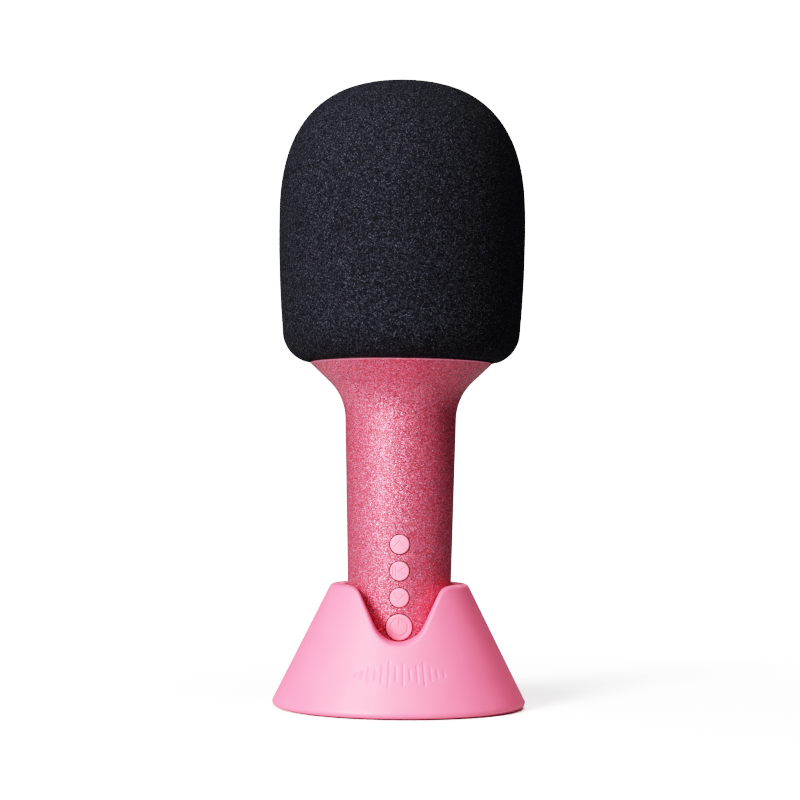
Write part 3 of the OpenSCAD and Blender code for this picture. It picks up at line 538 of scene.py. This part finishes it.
def cube_sphere(count):
    """Vertices on the unit sphere and quads, from a cube whose faces are count x count squares."""
    index, vertices, faces = {}, [], []
    line = np.tan(np.linspace(-math.pi / 4, math.pi / 4, count + 1))
    line[0], line[-1] = -1.0, 1.0

    def corner(point):
        key = tuple(int(round(c * 1e6)) for c in point)
        if key not in index:
            index[key] = len(vertices)
            vertices.append(point)
        return index[key]

    for axis in range(3):
        for side in (-1, 1):
            ids = np.empty((count + 1, count + 1), int)
            for i, u in enumerate(line):
                for j, v in enumerate(line):
                    point = [0.0, 0.0, 0.0]
                    point[axis] = float(side)
                    point[(axis + 1) % 3] = float(u)
                    point[(axis + 2) % 3] = float(v)
                    ids[i, j] = corner(point)
            quads = np.stack([ids[:-1, :-1], ids[1:, :-1], ids[1:, 1:], ids[:-1, 1:]], -1).reshape(-1, 4)
            faces.append(quads if side > 0 else quads[:, ::-1])
    vertices = np.array(vertices)
    return vertices / np.linalg.norm(vertices, axis=1)[:, None], np.concatenate(faces)


def foam_grain(point):
    """How far the cut foam stands out at a point, from about -1 to 1: small pits between struts."""
    cell = noise.voronoi(Vector(point) / PIT_SIZE)[0][0]
    grain = noise.noise(Vector(point) / GRAIN_SIZE)
    wave = noise.noise(Vector(point) / WAVE_SIZE)
    return GRAIN_SHARE * grain + PIT_SHARE * (cell - PIT_MEAN) + WAVE_SHARE * wave


def build_windscreen():
    """The foam as one closed skin: a sphere's grid laid along the outline, pitted where it shows."""
    outer, inner = foam_outline()
    directions, faces = cube_sphere(FOAM_SQUARES)
    polar = np.arccos(directions[:, 2].clip(-1, 1)) / math.pi
    outer, inner = resample(outer, 400), resample(inner, 200)
    outside = polar <= FOAM_OUTSIDE
    step = np.where(outside, polar / FOAM_OUTSIDE, (polar - FOAM_OUTSIDE) / (1 - FOAM_OUTSIDE))
    profile = np.empty((len(polar), 2))
    for chosen, line in ((outside, outer), (~outside, inner)):
        at = np.linspace(0, 1, len(line))
        for k in range(2):
            profile[chosen, k] = np.interp(step[chosen], at, line[:, k])
    turn = np.arctan2(directions[:, 1], directions[:, 0])
    points = np.stack([profile[:, 0] * np.cos(turn), profile[:, 0] * np.sin(turn), profile[:, 1]], -1)
    for i in np.nonzero(outside)[0]:
        x, y, z = points[i]
        away = Vector((x, y, 1.2 * (z - 150.0))).normalized()
        rise = GRAIN_DEPTH * foam_grain(points[i])
        lift = away.z * rise if z < FOAM_CROWN_Z else rise
        points[i] = (x + away.x * rise, y + away.y * rise, z + lift)
    foam = make_object("foam_windscreen", points * MM, faces, MATERIALS["foam"], "windscreen", 180)
    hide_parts("windscreen")


# ---- Stand ----

STAND_R = 44.1                # widest radius
SLOPE_TURN = 26.5             # angle of the slope from the vertical, in degrees
STAND_SLOPE = math.radians(SLOPE_TURN)
TOE_R = 1.5                   # rounding of the lower edge
SHELL_Z = 0.5                 # height of the underside
SLOPE_FOOT_Z = SHELL_Z + TOE_R + TOE_R * math.sin(STAND_SLOPE)
RIM_Z = shell_high.z / MM
RIM_ROUND = 1.3
NOTCH_ROUND = 1.3
NOTCH_Z = 24.1                # lowest point of the notch
NOTCH_R = 9.3                 # its round bottom
NOTCH_SIDE = 65.0             # slope of its sides, in degrees
SHOULDER_R = 5.6              # rounding of its shoulders
SOCKET_Z = 6.5                # floor of the socket
SOCKET_TAPER = math.tan(math.radians(1.4))
SOCKET_R0 = 18.58 - 45 * SOCKET_TAPER  # radius of the socket's cone at z = 0
RECESS_R = 39.6               # recess of the base plate
RELIEF_R = (22.4, 4.2)        # inner radius of the hollow, and wall left outside it
RELIEF_Z = (3.0, 17.0)
WALL_ROWS, RIM_ROWS = 34, 26  # rows of points up the socket's wall and across the rim
SETTLE_Z = SOCKET_Z + 3       # above this every point is settled on the rounded shape

MARK_DEPTH = 0.20
MARK_LINE = 0.30           # half width of an engraved bar
MARK_EDGE = 0.26           # width of its sloping edges
MARK_PITCH = 2.35
MARK_CENTRE = (0.3, 14.6)  # distance along the slope's front, and height
MARK_HEIGHTS = (1.2, 2.6, 4.6, 3.0, 5.8, 8.0, 4.4, 6.4, 3.2, 5.2, 7.0, 3.8, 2.2, 1.2)


def slope_radius(z):
    """Radius of the stand's slope at height z."""
    foot_r = STAND_R - TOE_R + TOE_R * math.cos(STAND_SLOPE)
    return foot_r - (z - SLOPE_FOOT_Z) * math.tan(STAND_SLOPE)


def socket_radius(z):
    """Radius of the socket at height z."""
    return SOCKET_R0 + z * SOCKET_TAPER


def notch_line():
    """Right half of the notch's outline in the x-z plane, from its lowest point to past the rim."""
    side = math.radians(NOTCH_SIDE)
    bottom = np.array([NOTCH_R * math.sin(side), NOTCH_Z + NOTCH_R * (1 - math.cos(side))])
    shoulder_z = RIM_Z - SHOULDER_R * (1 - math.cos(side))
    shoulder_x = bottom[0] + (shoulder_z - bottom[1]) / math.tan(side) + SHOULDER_R * math.sin(side)
    low = arc((0, NOTCH_Z + NOTCH_R), NOTCH_R, -90, -90 + NOTCH_SIDE, 24)
    high = arc((shoulder_x, RIM_Z - SHOULDER_R), SHOULDER_R, 90 + NOTCH_SIDE, 90, 20)
    return np.concatenate([low, high, [[60.0, RIM_Z]]])


NOTCH = notch_line()


def notch_height(x):
    """Height of the notch's outline at distance x from the middle."""
    return np.interp(np.abs(x), NOTCH[:, 0], NOTCH[:, 1])


def notch_distance(x, z):
    """Signed distance to the notch's outline, above it positive."""
    point = np.stack([np.abs(x), z], -1)
    best = np.full(len(point), 1e9)
    for a, b in zip(NOTCH[:-1], NOTCH[1:]):
        edge = b - a
        along = ((point - a) @ edge / (edge @ edge)).clip(0, 1)
        best = np.minimum(best, np.linalg.norm(point - a - along[:, None] * edge, axis=1))
    return np.where(z > notch_height(x), best, -best)


def rounded(a, b, radius):
    """Intersection of two solids given by signed distances, with its edge rounded."""
    reach_a, reach_b = np.maximum(a + radius, 0), np.maximum(b + radius, 0)
    return np.minimum(np.maximum(a, b), -radius) + np.hypot(reach_a, reach_b)


def shell_distance(p):
    """Signed distance to the upper part of the stand, with every edge rounded."""
    r, z = np.hypot(p[:, 0], p[:, 1]), p[:, 2]
    slope = (r - slope_radius(z)) * math.cos(STAND_SLOPE)
    top = z - RIM_Z
    socket = np.minimum(socket_radius(z) - r, z - SOCKET_Z)
    body = rounded(rounded(slope, top, RIM_ROUND), socket, RIM_ROUND)
    front = p[:, 1] < 0
    cut = np.full(len(p), -50.0)
    cut[front] = np.minimum(notch_distance(p[front, 0], z[front]), -p[front, 1])
    return rounded(body, cut, NOTCH_ROUND)


def settle(points, passes=5):
    """Moves points near the surface onto it, along the distance's gradient."""
    for _ in range(passes):
        here = shell_distance(points)
        step = 0.02
        slope = np.stack([(shell_distance(points + step * axis) - here) / step for axis in np.eye(3)], -1)
        size = (slope ** 2).sum(1).clip(0.05)
        points = points - (here / size)[:, None] * slope
    return points


def column_angles():
    """Angles from the front of the stand's columns, finer where the notch and the mark are."""
    fine, middle = np.arange(0, 32, 0.42), np.arange(32, 62, 0.8)
    coarse = np.linspace(62, 180, 62)
    half = np.concatenate([fine, middle, coarse])
    return np.radians(np.concatenate([half, -half[1:-1][::-1]]))


def edge_height(angle):
    """Height at which the slope meets the notch or the rim, at an angle from the front."""
    low, high = np.full(len(angle), 10.0), np.full(len(angle), RIM_Z)
    front = np.cos(angle) > 0
    for _ in range(40):
        middle = (low + high) / 2
        above = front & (middle > notch_height(slope_radius(middle) * np.sin(angle)))
        low, high = np.where(above, low, middle), np.where(above, middle, high)
    return high


def mark_depth(along, z):
    """Depth of the engraved mark, a row of upright bars like a sound level, at a place on the slope."""
    depth = np.zeros_like(along)
    first = MARK_CENTRE[0] - MARK_PITCH * (len(MARK_HEIGHTS) - 1) / 2
    for i, height in enumerate(MARK_HEIGHTS):
        off = along - first - i * MARK_PITCH
        up = np.abs(z - MARK_CENTRE[1]) - height / 2
        distance = np.hypot(off, np.maximum(up, 0)) - MARK_LINE
        depth = np.maximum(depth, MARK_DEPTH * (-distance / MARK_EDGE + 0.5).clip(0, 1))
    return depth


def around(angle, radius, z):
    """Points at angles from the front, +X positive."""
    radius, z = np.broadcast_to(radius, angle.shape), np.broadcast_to(z, angle.shape)
    return np.stack([radius * np.sin(angle), -radius * np.cos(angle), z], -1)


def inner_angles(outer, top):
    """Angles of the columns on the socket's wall, so that each meets its own column across the rim."""
    edge_x = slope_radius(top) * np.sin(outer)
    flat_x = NOTCH[-2][0]
    corner_out = math.asin(flat_x / slope_radius(RIM_Z))
    corner_in = math.asin(min(1.0, flat_x / socket_radius(RIM_Z)))
    size = np.abs(outer)
    front = np.arcsin((np.abs(edge_x) / socket_radius(top)).clip(0, 1))
    back = corner_in + (size - corner_out) * (math.pi - corner_in) / (math.pi - corner_out)
    return np.sign(outer) * np.where(size < corner_out, front, back)


def upper_rows(inner, outer, top):
    """Rows of points up the socket's wall, across the rim and down the slope, and the slope's first row."""
    rows = []
    for t in 1 - (1 - np.linspace(0, 1, WALL_ROWS)) ** 1.6:
        z = SOCKET_Z + (top - SOCKET_Z) * t
        rows.append(around(inner, socket_radius(z), z))
    start, end = rows[-1], around(outer, slope_radius(top), top)
    across = (1 - np.cos(np.linspace(0, math.pi, RIM_ROWS))) / 2
    for t in across[1:]:
        rows.append(start + (end - start) * t)
    first = len(rows)
    for t in np.concatenate([np.linspace(1, 0.86, 12)[1:], np.linspace(0.86, 0, 74)[1:]]):
        z = SLOPE_FOOT_Z + (top - SLOPE_FOOT_Z) * t
        rows.append(around(outer, slope_radius(z), z))
    rows = np.array(rows)
    high = rows[..., 2] > SETTLE_Z
    rows[high] = settle(rows[high])
    return rows, first


def engrave(rows):
    """Rows of the slope with the mark cut into them, square to the slope."""
    points = rows.reshape(-1, 3)
    turn = np.arctan2(points[:, 0], -points[:, 1])
    depth = mark_depth(turn * slope_radius(MARK_CENTRE[1]), points[:, 2])
    inward = np.stack([-np.sin(turn) * math.cos(STAND_SLOPE), np.cos(turn) * math.cos(STAND_SLOPE),
                       np.full(len(points), -math.sin(STAND_SLOPE))], -1)
    return (points + depth[:, None] * inward).reshape(rows.shape)


def build_stand():
    """The stand as columns of points, from the socket's floor over the rim to the recess underneath."""
    outer = column_angles()
    top = edge_height(outer)
    inner = inner_angles(outer, top)
    shaped, first = upper_rows(inner, outer, top)
    shaped[first:] = engrave(shaped[first:])

    relief_low, relief_high = RELIEF_Z
    wall_low, wall_high = (slope_radius(z) - RELIEF_R[1] for z in RELIEF_Z)
    floor = [(r, SOCKET_Z) for r in (0.6, 5, 10, 14, 17)] + [(socket_radius(SOCKET_Z) - 0.3, SOCKET_Z)]
    toe = [tuple(p) for p in arc((STAND_R - TOE_R, SHELL_Z + TOE_R), TOE_R, SLOPE_TURN, -90, 8)[1:]]
    under = [(RECESS_R, SHELL_Z), (RECESS_R, relief_low), (wall_low, relief_low), (wall_high, relief_high),
             (RELIEF_R[0], relief_high), (RELIEF_R[0], relief_low), (12, relief_low), (0.6, relief_low)]
    lead_in = [around(inner, r, z) for r, z in floor]
    below = [around(outer, r, z) for r, z in toe + under]
    stack = np.concatenate([lead_in, shaped, below])
    rows, columns = stack.shape[:2]
    faces = grid_faces(rows, columns)[:, ::-1].tolist()
    faces.append(list(range(columns)))
    faces.append([(rows - 1) * columns + i for i in range(columns)][::-1])
    stand = make_object("stand_body", stack.reshape(-1, 3) * MM, faces, MATERIALS["stand"], "stand", 38)
    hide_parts("stand_shell")


# ---- Buttons ----

def chevron(width, height, low):
    """A two-stroke arrow that points up, or down for a negative height."""
    return [((-width, low), (0, low + height)), ((0, low + height), (width, low))]


def circle_strokes(radius, gap):
    """A ring open at the top, as short strokes."""
    points = arc((0, 0), radius, 90 + gap, 450 - gap, 40)
    return list(zip(points[:-1], points[1:]))


ICONS = {
    "volume_up_button": chevron(1.9, 2.05, -0.8),
    "play_button": [((-2.15, -1.5), (-2.15, 1.5)), ((-1.15, -1.6), (-1.15, 1.6)), ((2.1, 1.4), (-0.25, 0)),
                    ((-0.25, 0), (2.1, -1.4))],
    "volume_down_button": chevron(1.9, -2.05, 1.2),
    "power_button": circle_strokes(2.95, 17) + [((0, 0.8), (0, 3.3))],
}
ICON_LINE = 0.17    # half width of an icon's stroke
ICON_EDGE = 0.10    # width of its sloping edges
ICON_DEPTH = 0.22
BUTTON_ROUND = 0.32
HANDLE_R0 = 18.13 - 45 * SOCKET_TAPER  # radius of the handle's cone at z = 0
BUTTON_PROUD = 0.4  # how far the cap stands out of the handle
BUTTON_BACK = 14.6  # distance from the axis to the front of the flange
FLANGE_RIM = 0.6    # how far the flange stands out round the cap
FLANGE_T = 0.8
STEM_R = 1.6
CAP_RINGS, CAP_TURNS = 58, 160
GAP_SHADE_DROP = 0.45   # the skirt's painted shade, for the shadow in the gap round the cap, begins this far behind the cap's face


def stroke_distance(x, z, strokes):
    """Distance from each point to the nearest stroke."""
    point = np.stack([x, z], -1)
    best = np.full(len(point), 1e9)
    for a, b in strokes:
        a, edge = np.array(a, float), np.array(b, float) - np.array(a, float)
        along = ((point - a) @ edge / max(edge @ edge, 1e-9)).clip(0, 1)
        best = np.minimum(best, np.linalg.norm(point - a - along[:, None] * edge, axis=1))
    return best


def button_front(node, cap_r, centre_z, turn):
    """The cap's face as rings of points, with a rounded edge and an engraved icon, and its rearmost y."""
    reach = cap_r * np.linspace(0.012, 1, CAP_RINGS) ** 0.9
    r, a = np.meshgrid(reach, turn, indexing="ij")
    x, z = (r * np.cos(a)).ravel(), (r * np.sin(a)).ravel()
    skin = HANDLE_R0 + (centre_z + z) * SOCKET_TAPER + BUTTON_PROUD
    front = -np.sqrt(skin ** 2 - x ** 2)
    from_edge = cap_r - r.ravel()
    fall = np.where(from_edge < BUTTON_ROUND,
                    BUTTON_ROUND - np.sqrt((BUTTON_ROUND ** 2 - (BUTTON_ROUND - from_edge) ** 2).clip(0)), 0)
    off_line = stroke_distance(x, z, ICONS[node]) - ICON_LINE
    groove = ICON_DEPTH * (1 - (off_line / ICON_EDGE).clip(0, 1))
    return np.stack([x, front + fall + groove, centre_z + z], -1), front.max()


def build_button(node):
    """A button: its cap's face, with its flange and stem turned behind it, and its skirt darkened with
    painted shade for the shadow in the gap round the cap.
    """
    low, high = (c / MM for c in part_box(node))
    centre_z = (low.z + high.z) / 2
    flange_r = (high.x - low.x) / 2
    cap_r = flange_r - FLANGE_RIM
    turn = np.arange(CAP_TURNS) / CAP_TURNS * 2 * math.pi
    face, rearmost = button_front(node, cap_r, centre_z, turn)
    back = [(cap_r, BUTTON_BACK), (flange_r, BUTTON_BACK), (flange_r, BUTTON_BACK - FLANGE_T),
            (STEM_R, BUTTON_BACK - FLANGE_T), (STEM_R, -high.y), (0.05, -high.y)]
    x, z = np.cos(turn), np.sin(turn)
    rows = [np.stack([r * x, np.full(CAP_TURNS, -depth), centre_z + r * z], -1) for r, depth in back]
    vertices = np.concatenate([face] + rows)
    count = CAP_RINGS + len(back)
    faces = grid_faces(count, CAP_TURNS)[:, ::-1].tolist()
    faces.append(list(range(CAP_TURNS)))
    faces.append([(count - 1) * CAP_TURNS + i for i in range(CAP_TURNS)][::-1])
    button = make_object(node + "_cap", vertices * MM, faces, MATERIALS["button"], node, 50)
    button.data.materials.append(MATERIALS["gap_painted_shade"])
    # painted shade: faces behind the cap's face take the dark material, for the shadow in the gap round the
    # cap
    for polygon in button.data.polygons:
        if polygon.center.y > rearmost * MM + GAP_SHADE_DROP * MM:
            polygon.material_index = 1
    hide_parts(node)


# ---- Grille ----

WIRE_R = 0.26
WEAVE = 0.24      # how far each wire goes over and under
CAP_PITCH = 2.0   # spacing of the cap's wires
HOOP_R = 0.55     # wire of the hoop between the two weaves
FOOT_R = 0.42     # wire of the hoop at the foot
FOOT_RISE = 0.45  # height of that hoop above the grille's lower edge
UPRIGHTS, RINGS = 96, 42
CAP_R = 22.0      # the cap's weave is square inside this radius, and runs round the axis outside it


def grille_profile():
    """Radius and height along the grille's middle surface, from its foot to its top."""
    radius, foot, top = grille_high.x / MM - 0.4, grille_low.z / MM, grille_high.z / MM - 0.4
    line = np.concatenate([[[radius, foot]], dome(radius, FOAM_GIRTH_Z, top, 300)])
    return resample(line, 600)


def hoop(radius, height, wire, sides):
    """A round hoop of wire about the axis."""
    turn = np.linspace(0, 2 * math.pi, 160, endpoint=False)
    path = np.stack([radius * np.cos(turn), radius * np.sin(turn), np.full(len(turn), height)], -1)
    return tube(path, wire, sides, closed=True)


def side_wires(profile):
    """The side's weave: upright wires, and rings that pass over and under them."""
    side = profile[profile[:, 0] >= CAP_R]
    length = np.concatenate([[0], np.cumsum(np.linalg.norm(np.diff(side, axis=0), axis=1))])
    parts = []
    for k in range(UPRIGHTS):
        turn = 2 * math.pi * k / UPRIGHTS
        at = np.linspace(0, length[-1], 2 * RINGS + 1)
        radius, height = np.interp(at, length, side[:, 0]), np.interp(at, length, side[:, 1])
        over = WEAVE * np.cos(math.pi * (at / length[-1] * RINGS + k))
        radius = radius + over
        path = np.stack([radius * math.cos(turn), radius * math.sin(turn), height], -1)
        parts.append(tube(path, WIRE_R, 4))
    for j in range(RINGS + 1):
        at = length[-1] * j / RINGS
        radius, height = np.interp(at, length, side[:, 0]), np.interp(at, length, side[:, 1])
        turn = np.arange(2 * UPRIGHTS) / (2 * UPRIGHTS) * 2 * math.pi
        over = -WEAVE * np.cos(UPRIGHTS * turn + math.pi * j)
        path = np.stack([(radius + over) * np.cos(turn), (radius + over) * np.sin(turn),
                         np.full(len(turn), height)], -1)
        parts.append(tube(path, WIRE_R, 4, closed=True))
    return parts


def cap_wires(crown):
    """The cap's square weave, wires both ways by turns, from the profile read from its top."""
    reach = int(CAP_R / CAP_PITCH)
    parts = []
    for k in range(-reach, reach + 1):
        off = k * CAP_PITCH
        half = math.sqrt(max(CAP_R ** 2 - off ** 2, 0))
        if half < 2:
            continue
        along = np.arange(-half, half + 0.5, 1.0)
        height = np.interp(np.hypot(along, off), crown[:, 0], crown[:, 1])
        over = WEAVE * np.cos(math.pi * along / CAP_PITCH + math.pi * k)
        across = np.full(len(along), off)
        parts.append(tube(np.stack([along, across, height + over], -1), WIRE_R, 4))
        parts.append(tube(np.stack([across, along, height - over], -1), WIRE_R, 4))
    return parts


def build_grille():
    """Woven wire pressed into a dome, with a hoop between the side's weave and the cap's."""
    profile = grille_profile()
    crown = profile[::-1]
    parts = side_wires(profile) + cap_wires(crown)
    parts.append(hoop(CAP_R, np.interp(CAP_R, crown[:, 0], crown[:, 1]), HOOP_R, 10))
    foot_r, foot_z = profile[0]
    parts.append(hoop(foot_r, foot_z + FOOT_RISE, FOOT_R, 8))
    vertices, faces = join_parts(parts)
    grille = make_object("grille_weave", vertices * MM, faces, MATERIALS["wire"], "microphone", 60)
    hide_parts("grille")


# ---- Studio ----

CAMERA_PLACE = (-0.0003, -0.721, 0.079)
CAMERA_RISE = 2.23      # upward tilt, in degrees
CAMERA_ROLL = 0.46
CAMERA_LENS = 92.475
TONE_WHITE = 3.0        # brightness that shows as white
TONE_STEEP = 1.4        # how steep the tone curve is in the shadows
TONE_KNEE = 0.42        # where it starts to roll off
TONE_CROWD = 2.5        # gathers the curve's points in the shadows
ROOM_DIFFUSE = 0.05     # how bright the room is as diffuse light, and in reflections
ROOM_SHINE = 0.05
FLOOR_SHADE = 1.80      # the floor's colour as the camera sees it; over 1 keeps the shadows light
FLOOR_BOUNCE = 0.72     # how much light the floor throws back, and how bright it is in reflections
FLOOR_SHINE = 0.25
FLOOR_FADE = (70, 280)  # distances from the axis between which the shadows fade out, in millimetres
CARD_X = 0.26           # place and size of the dark card
CARD_Y = (-0.35, 0.55)
CARD_Z = (0.002, 0.6)


def soft_light(name, place, size, power, target=(0, 0, 0.11), shines=True):
    """A rectangular lamp turned towards a point; one that does not shine gives no reflections."""
    lamp = bpy.data.lights.new(name, "AREA")
    lamp.shape = "RECTANGLE"
    lamp.size, lamp.size_y = size
    lamp.energy = power
    thing = bpy.data.objects.new(name, lamp)
    thing.location = place
    thing.visible_glossy = shines
    bpy.context.scene.collection.objects.link(thing)
    aim = Vector(target) - thing.location
    thing.rotation_euler = aim.to_track_quat("-Z", "Y").to_euler()


def plain_sheet(name, corners, material):
    """A flat stage surface through four corners."""
    mesh = bpy.data.meshes.new(name)
    mesh.from_pydata(corners, [], [(0, 1, 2, 3)])
    mesh.materials.append(material)
    thing = bpy.data.objects.new(name, mesh)
    bpy.context.scene.collection.objects.link(thing)
    return thing


def floor_material():
    """White floor with the shadows on it softened, which throws little light back."""
    s = Shader("studio_floor")
    far = s.spread(s.radius(), *FLOOR_FADE)
    shade = s.mix(far, (FLOOR_SHADE,) * 3, (0.0, 0.0, 0.0))
    seen = s.add("ShaderNodeBsdfDiffuse", {"Color": shade})
    strength = s.spread(far, 0, 1, 0.0, TONE_WHITE)
    glow = s.add("ShaderNodeEmission", {"Color": (1, 1, 1, 1), "Strength": strength})
    white = s.add("ShaderNodeAddShader", {0: seen.outputs[0], 1: glow.outputs[0]})
    path = s.add("ShaderNodeLightPath")
    back = s.mix(path.outputs["Is Glossy Ray"], (FLOOR_BOUNCE,) * 3, (FLOOR_SHINE,) * 3)
    dull = s.add("ShaderNodeBsdfDiffuse", {"Color": back})
    choice = s.add("ShaderNodeMixShader",
                   {0: path.outputs["Is Camera Ray"], 1: dull.outputs[0], 2: white.outputs[0]})
    s.add("ShaderNodeOutputMaterial", {"Surface": choice.outputs[0]})
    return s.data


def tone(value):
    """A camera's tone curve: deep shadows, and highlights that roll off to white at TONE_WHITE."""
    raised = value ** TONE_STEEP
    return (1 + TONE_KNEE / TONE_WHITE ** TONE_STEEP) * raised / (raised + TONE_KNEE)


def set_tone():
    """Shows the scene through the tone curve."""
    view = bpy.context.scene.view_settings
    view.view_transform = "Standard"
    view.use_curve_mapping = True
    mapping = view.curve_mapping
    mapping.white_level = (TONE_WHITE,) * 3
    steps = 24
    for step in range(1, steps):
        share = (step / steps) ** TONE_CROWD
        mapping.curves[3].points.new(share, tone(share * TONE_WHITE))
    mapping.update()


def build_world():
    """White surroundings as the camera sees them, which throw only a little light on the scene."""
    s = Shader("studio", bpy.data.worlds)
    path = s.add("ShaderNodeLightPath")
    strength = s.spread(path.outputs["Is Glossy Ray"], 0, 1, ROOM_DIFFUSE, ROOM_SHINE)
    fill = s.add("ShaderNodeBackground", {"Color": (0.95, 0.97, 1.0, 1), "Strength": strength})
    seen = s.add("ShaderNodeBackground", {"Color": (1, 1, 1, 1), "Strength": TONE_WHITE})
    choice = s.add("ShaderNodeMixShader",
                   {0: path.outputs["Is Camera Ray"], 1: fill.outputs[0], 2: seen.outputs[0]})
    s.add("ShaderNodeOutputWorld", {"Surface": choice.outputs[0]})
    bpy.context.scene.world = s.data


def build_stage():
    """The white floor, and a dark card on the right that the camera does not see."""
    plain_sheet("floor", [(-1.6, -1.3, 0), (1.6, -1.3, 0), (1.6, 0.6, 0), (-1.6, 0.6, 0)], floor_material())
    (front, back), (low, high) = CARD_Y, CARD_Z
    corners = [(CARD_X, front, low), (CARD_X, back, low), (CARD_X, back, high), (CARD_X, front, high)]
    card = plain_sheet("dark_card", corners, Shader("dark_card").surface((0.012, 0.012, 0.012), 0.9))
    card.visible_camera = False


def build_lights():
    """A large soft light from the upper left, one from above, and a weak one behind without reflections."""
    soft_light("key", (-0.85, -1.06, 0.57), (0.32, 0.60), 45)
    soft_light("top", (0.08, -0.45, 1.25), (1.3, 0.9), 16, target=(0, 0, 0))
    soft_light("back", (0.18, 1.10, 0.75), (0.8, 0.6), 8, shines=False)


def build_camera():
    """The photo's camera."""
    camera = bpy.data.cameras.new("camera")
    camera.lens = CAMERA_LENS
    camera.sensor_width = 36.0
    camera.clip_start, camera.clip_end = 0.05, 20.0
    thing = bpy.data.objects.new("camera", camera)
    rise = Matrix.Rotation(math.radians(90 + CAMERA_RISE), 4, "X")
    roll = Matrix.Rotation(math.radians(CAMERA_ROLL), 4, "Z")
    thing.matrix_world = Matrix.Translation(CAMERA_PLACE) @ rise @ roll
    bpy.context.scene.collection.objects.link(thing)
    bpy.context.scene.camera = thing


build_world()
build_stage()
build_lights()
build_camera()
set_tone()
dress_cad_nodes()
build_stand()
for button_node in ICONS:
    build_button(button_node)
build_grille()
build_windscreen()

bpy.context.view_layer.update()
